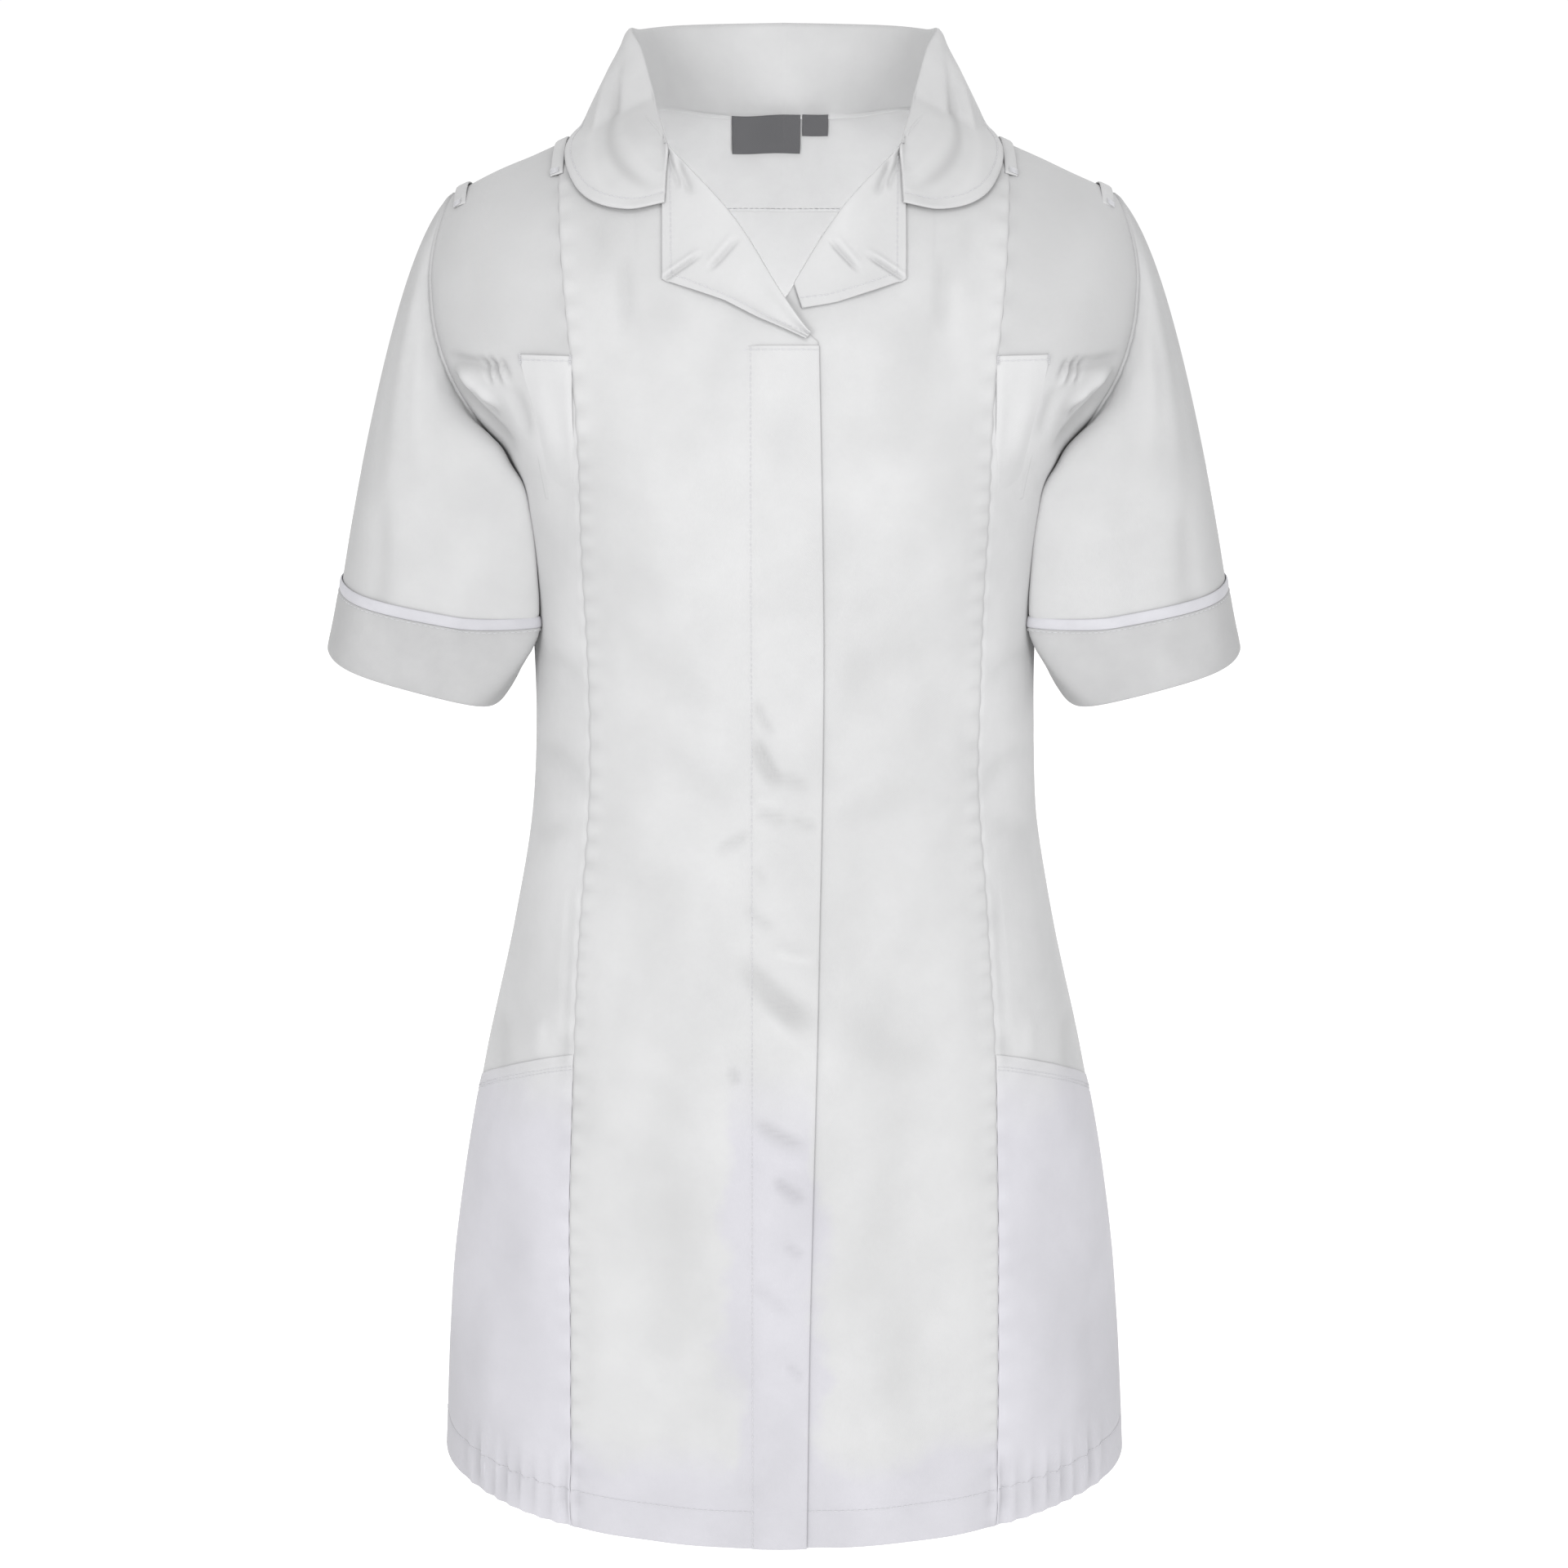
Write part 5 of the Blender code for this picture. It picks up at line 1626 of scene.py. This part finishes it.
def make_lamps():
    view = bpy.context.scene.tunic_stage
    aim = Vector((0, 0, view.target_height))
    for lamp in LAMPS:
        place = Vector((lamp.x, lamp.y, lamp.z))
        turn = (aim - place).to_track_quat("-Z", "Y").to_euler()
        add_lamp(lamp.name, place, turn, (lamp.width, lamp.height), view.lamp_power * lamp.share)
    add_lamp("Neck light", NECK_LAMP_PLACE, NECK_LAMP_TURN, NECK_LAMP_SIZE, view.neck_power)


def make_floor():
    view = bpy.context.scene.tunic_stage
    bpy.ops.object.select_all(action="DESELECT")
    place = (0, 0, view.floor_height)
    bpy.ops.mesh.primitive_circle_add(vertices=96, radius=view.floor_radius, fill_type="NGON", location=place)
    floor = bpy.context.active_object
    floor.name = "Floor"
    recipe = Recipe("Pale floor")
    cloud = recipe.noise(recipe.node("ShaderNodeTexCoord", out="Object"), 3.0)
    sockets = {
        "Base Color": recipe.mix_colour(cloud, (0.9, 0.9, 0.9, 1), (0.94, 0.94, 0.94, 1)),
        "Roughness": 0.9, "Emission Color": (1, 1, 1, 1), "Emission Strength": view.floor_glow,
    }
    surface = recipe.node("ShaderNodeBsdfPrincipled", None, sockets)
    recipe.node("ShaderNodeOutputMaterial", None, {"Surface": surface})
    floor.data.materials.append(recipe.material)


def make_world():
    view = bpy.context.scene.tunic_stage
    world = bpy.data.worlds.new("Studio")
    world.use_nodes = True
    background = world.node_tree.nodes["Background"]
    background.inputs["Color"].default_value = (1.0, 1.0, 1.0, 1)
    background.inputs["Strength"].default_value = view.room_light
    bpy.context.scene.world = world
    bpy.context.scene.view_settings.view_transform = "Standard"


def cloth_colour(name, description, default):
    return bpy.props.FloatVectorProperty(
        name=name, description=description, default=default, subtype="COLOR", size=3, min=0, max=1
    )


class TunicCloth(bpy.types.PropertyGroup):
    white: cloth_colour("White", "Colour of the fronts, back, fly strip and loops", (0.354, 0.354, 0.356))
    collar_white: cloth_colour("Collar white", "Colour of the collar and lapels", (0.360, 0.360, 0.362))
    # The sleeve and cuff whites are darker than the fronts' white as painted shade, and the side and pocket
    # whites lighter as painted light; they are all the same cloth.
    sleeve_white: cloth_colour("Sleeve white", "Colour of the sleeves", (0.336, 0.336, 0.338))
    cuff_white: cloth_colour("Cuff white", "Colour of the cuffs", (0.288, 0.288, 0.290))
    side_lit_white: cloth_colour("Lit side white", "Colour of the side panels and pen pockets", (0.375, 0.375, 0.378))
    pocket_white: cloth_colour("Lit pocket white", "Colour of the hip pockets", (0.385, 0.385, 0.388))
    trim_colour: cloth_colour("Trim", "Colour of the folded trim above the cuffs", (0.345, 0.343, 0.362))
    label_grey: cloth_colour("Label grey", "Colour of the bare neck labels", (0.060, 0.060, 0.063))
    tape_white: cloth_colour("Zip white", "Colour of the hidden zip's tape", (0.55, 0.55, 0.56))
    thread_white: cloth_colour("Thread white", "Colour of the thread and zip teeth", (0.40, 0.40, 0.415))
    crease_depth: bpy.props.FloatProperty(
        name="Crease depth", description="Strength of the worn creases", default=1.8, min=0, max=2,
    )


class TunicStitching(bpy.types.PropertyGroup):
    pitch: bpy.props.FloatProperty(
        name="Stitch pitch", description="Distance from one stitch to the next", default=0.003, min=0.001,
        max=0.01, subtype="DISTANCE", unit="LENGTH",
    )
    thickness: bpy.props.FloatProperty(
        name="Thread width", description="Width of a stitch", default=0.00045, min=0.0002, max=0.002,
        subtype="DISTANCE", unit="LENGTH",
    )


class TunicStage(bpy.types.PropertyGroup):
    camera_distance: bpy.props.FloatProperty(
        name="Camera distance", description="From the camera to the tunic's middle", default=1.62,
        unit="LENGTH",
    )
    camera_height: bpy.props.FloatProperty(
        name="Camera elevation", description="Angle above the horizon", default=float(np.radians(12)),
        unit="ROTATION",
    )
    target_height: bpy.props.FloatProperty(
        name="Target height", description="Height that the camera looks at", default=-0.332, unit="LENGTH",
    )
    lens: bpy.props.FloatProperty(
        name="Lens", description="Focal length in millimetres", default=68.4, min=10,
    )
    lamp_power: bpy.props.FloatProperty(
        name="Lamp power", description="Power of the soft key light in watts", default=54.0, min=0,
    )
    neck_power: bpy.props.FloatProperty(
        name="Neck light", description="Power of the lamp inside the neck in watts", default=1.12, min=0,
    )
    room_light: bpy.props.FloatProperty(
        name="Room light", description="Brightness of the white room", default=1.02, min=0,
    )
    floor_glow: bpy.props.FloatProperty(
        name="Floor glow", description="Light from the white floor", default=0.25, min=0,
    )
    floor_height: bpy.props.FloatProperty(
        name="Floor height", description="Height of the floor", default=-1.6, unit="LENGTH",
    )
    floor_radius: bpy.props.FloatProperty(
        name="Floor radius", description="Radius of the round floor", default=14.0, unit="LENGTH",
    )


class MakeStage(bpy.types.Operator):
    """Light the studio and set the camera"""

    bl_idname = "tunic.stage"
    bl_label = "Stage"

    def execute(self, context):
        make_camera()
        make_world()
        make_floor()
        make_lamps()
        return {"FINISHED"}


class MakeCentreFronts(bpy.types.Operator):
    """Cut the two centre fronts"""

    bl_idname = "tunic.centre_fronts"
    bl_label = "Centre fronts"

    def execute(self, context):
        make_centre_fronts()
        return {"FINISHED"}


class MakeSides(bpy.types.Operator):
    """Cut the side fronts and side backs"""

    bl_idname = "tunic.sides"
    bl_label = "Side panels"

    def execute(self, context):
        make_side_panels()
        return {"FINISHED"}


class MakeBack(bpy.types.Operator):
    """Cut the back"""

    bl_idname = "tunic.back"
    bl_label = "Back"

    def execute(self, context):
        make_back()
        return {"FINISHED"}


class MakeSleeves(bpy.types.Operator):
    """Set in the sleeves with their trim and cuffs"""

    bl_idname = "tunic.sleeves"
    bl_label = "Sleeves"

    def execute(self, context):
        make_sleeves()
        return {"FINISHED"}


class MakeCollar(bpy.types.Operator):
    """Sew the collar to the neck"""

    bl_idname = "tunic.collar"
    bl_label = "Collar"

    def execute(self, context):
        make_collar()
        return {"FINISHED"}


class MakeLapels(bpy.types.Operator):
    """Turn back the lapels"""

    bl_idname = "tunic.lapels"
    bl_label = "Lapels"

    def execute(self, context):
        make_lapels()
        return {"FINISHED"}


class MakeClosure(bpy.types.Operator):
    """Sew on the fly strip and the hidden zip tape"""

    bl_idname = "tunic.closure"
    bl_label = "Closure"

    def execute(self, context):
        make_closure()
        return {"FINISHED"}


class MakePockets(bpy.types.Operator):
    """Sew on the pen and hip pockets"""

    bl_idname = "tunic.pockets"
    bl_label = "Pockets"

    def execute(self, context):
        make_pockets()
        return {"FINISHED"}


class MakeFacing(bpy.types.Operator):
    """Sew in the neck facing and the bare labels"""

    bl_idname = "tunic.facing"
    bl_label = "Facing and labels"

    def execute(self, context):
        make_facing_and_labels()
        return {"FINISHED"}


class MakeLoops(bpy.types.Operator):
    """Sew the loops over the shoulder seams"""

    bl_idname = "tunic.loops"
    bl_label = "Shoulder loops"

    def execute(self, context):
        make_shoulder_loops()
        return {"FINISHED"}


class MakeThreads(bpy.types.Operator):
    """Sew the visible stitches and the zip's teeth"""

    bl_idname = "tunic.threads"
    bl_label = "Stitching"

    def execute(self, context):
        make_threads()
        make_zip_teeth()
        return {"FINISHED"}


class TunicPanel(bpy.types.Panel):
    """The tunic's settings and pieces"""

    bl_idname = "VIEW3D_PT_tunic"
    bl_label = "Work tunic"
    bl_space_type = "VIEW_3D"
    bl_region_type = "UI"
    bl_category = "Tunic"

    def draw(self, context):
        layout = self.layout
        for group in (context.scene.tunic_cloth, context.scene.tunic_stitching, context.scene.tunic_stage):
            box = layout.box()
            for name in group.bl_rna.properties.keys():
                if name not in ("rna_type", "name"):
                    box.prop(group, name)
        for piece in PIECES:
            layout.operator(piece.bl_idname)


PIECES = (
    MakeStage,
    MakeCentreFronts,
    MakeSides,
    MakeBack,
    MakeSleeves,
    MakeCollar,
    MakeLapels,
    MakeClosure,
    MakePockets,
    MakeFacing,
    MakeLoops,
    MakeThreads,
)
GROUPS = (TunicCloth, TunicStitching, TunicStage)


def register():
    for kind in (*GROUPS, *PIECES, TunicPanel):
        bpy.utils.register_class(kind)
    bpy.types.Scene.tunic_cloth = bpy.props.PointerProperty(type=TunicCloth)
    bpy.types.Scene.tunic_stitching = bpy.props.PointerProperty(type=TunicStitching)
    bpy.types.Scene.tunic_stage = bpy.props.PointerProperty(type=TunicStage)


def unregister():
    del bpy.types.Scene.tunic_cloth, bpy.types.Scene.tunic_stitching, bpy.types.Scene.tunic_stage
    for kind in (TunicPanel, *PIECES[::-1], *GROUPS[::-1]):
        bpy.utils.unregister_class(kind)


def main():
    register()
    bpy.ops.tunic.stage()
    bpy.ops.tunic.centre_fronts()
    bpy.ops.tunic.sides()
    bpy.ops.tunic.back()
    bpy.ops.tunic.sleeves()
    bpy.ops.tunic.collar()
    bpy.ops.tunic.lapels()
    bpy.ops.tunic.closure()
    bpy.ops.tunic.pockets()
    bpy.ops.tunic.facing()
    bpy.ops.tunic.loops()
    bpy.ops.tunic.threads()


if __name__ == "__main__":
    main()
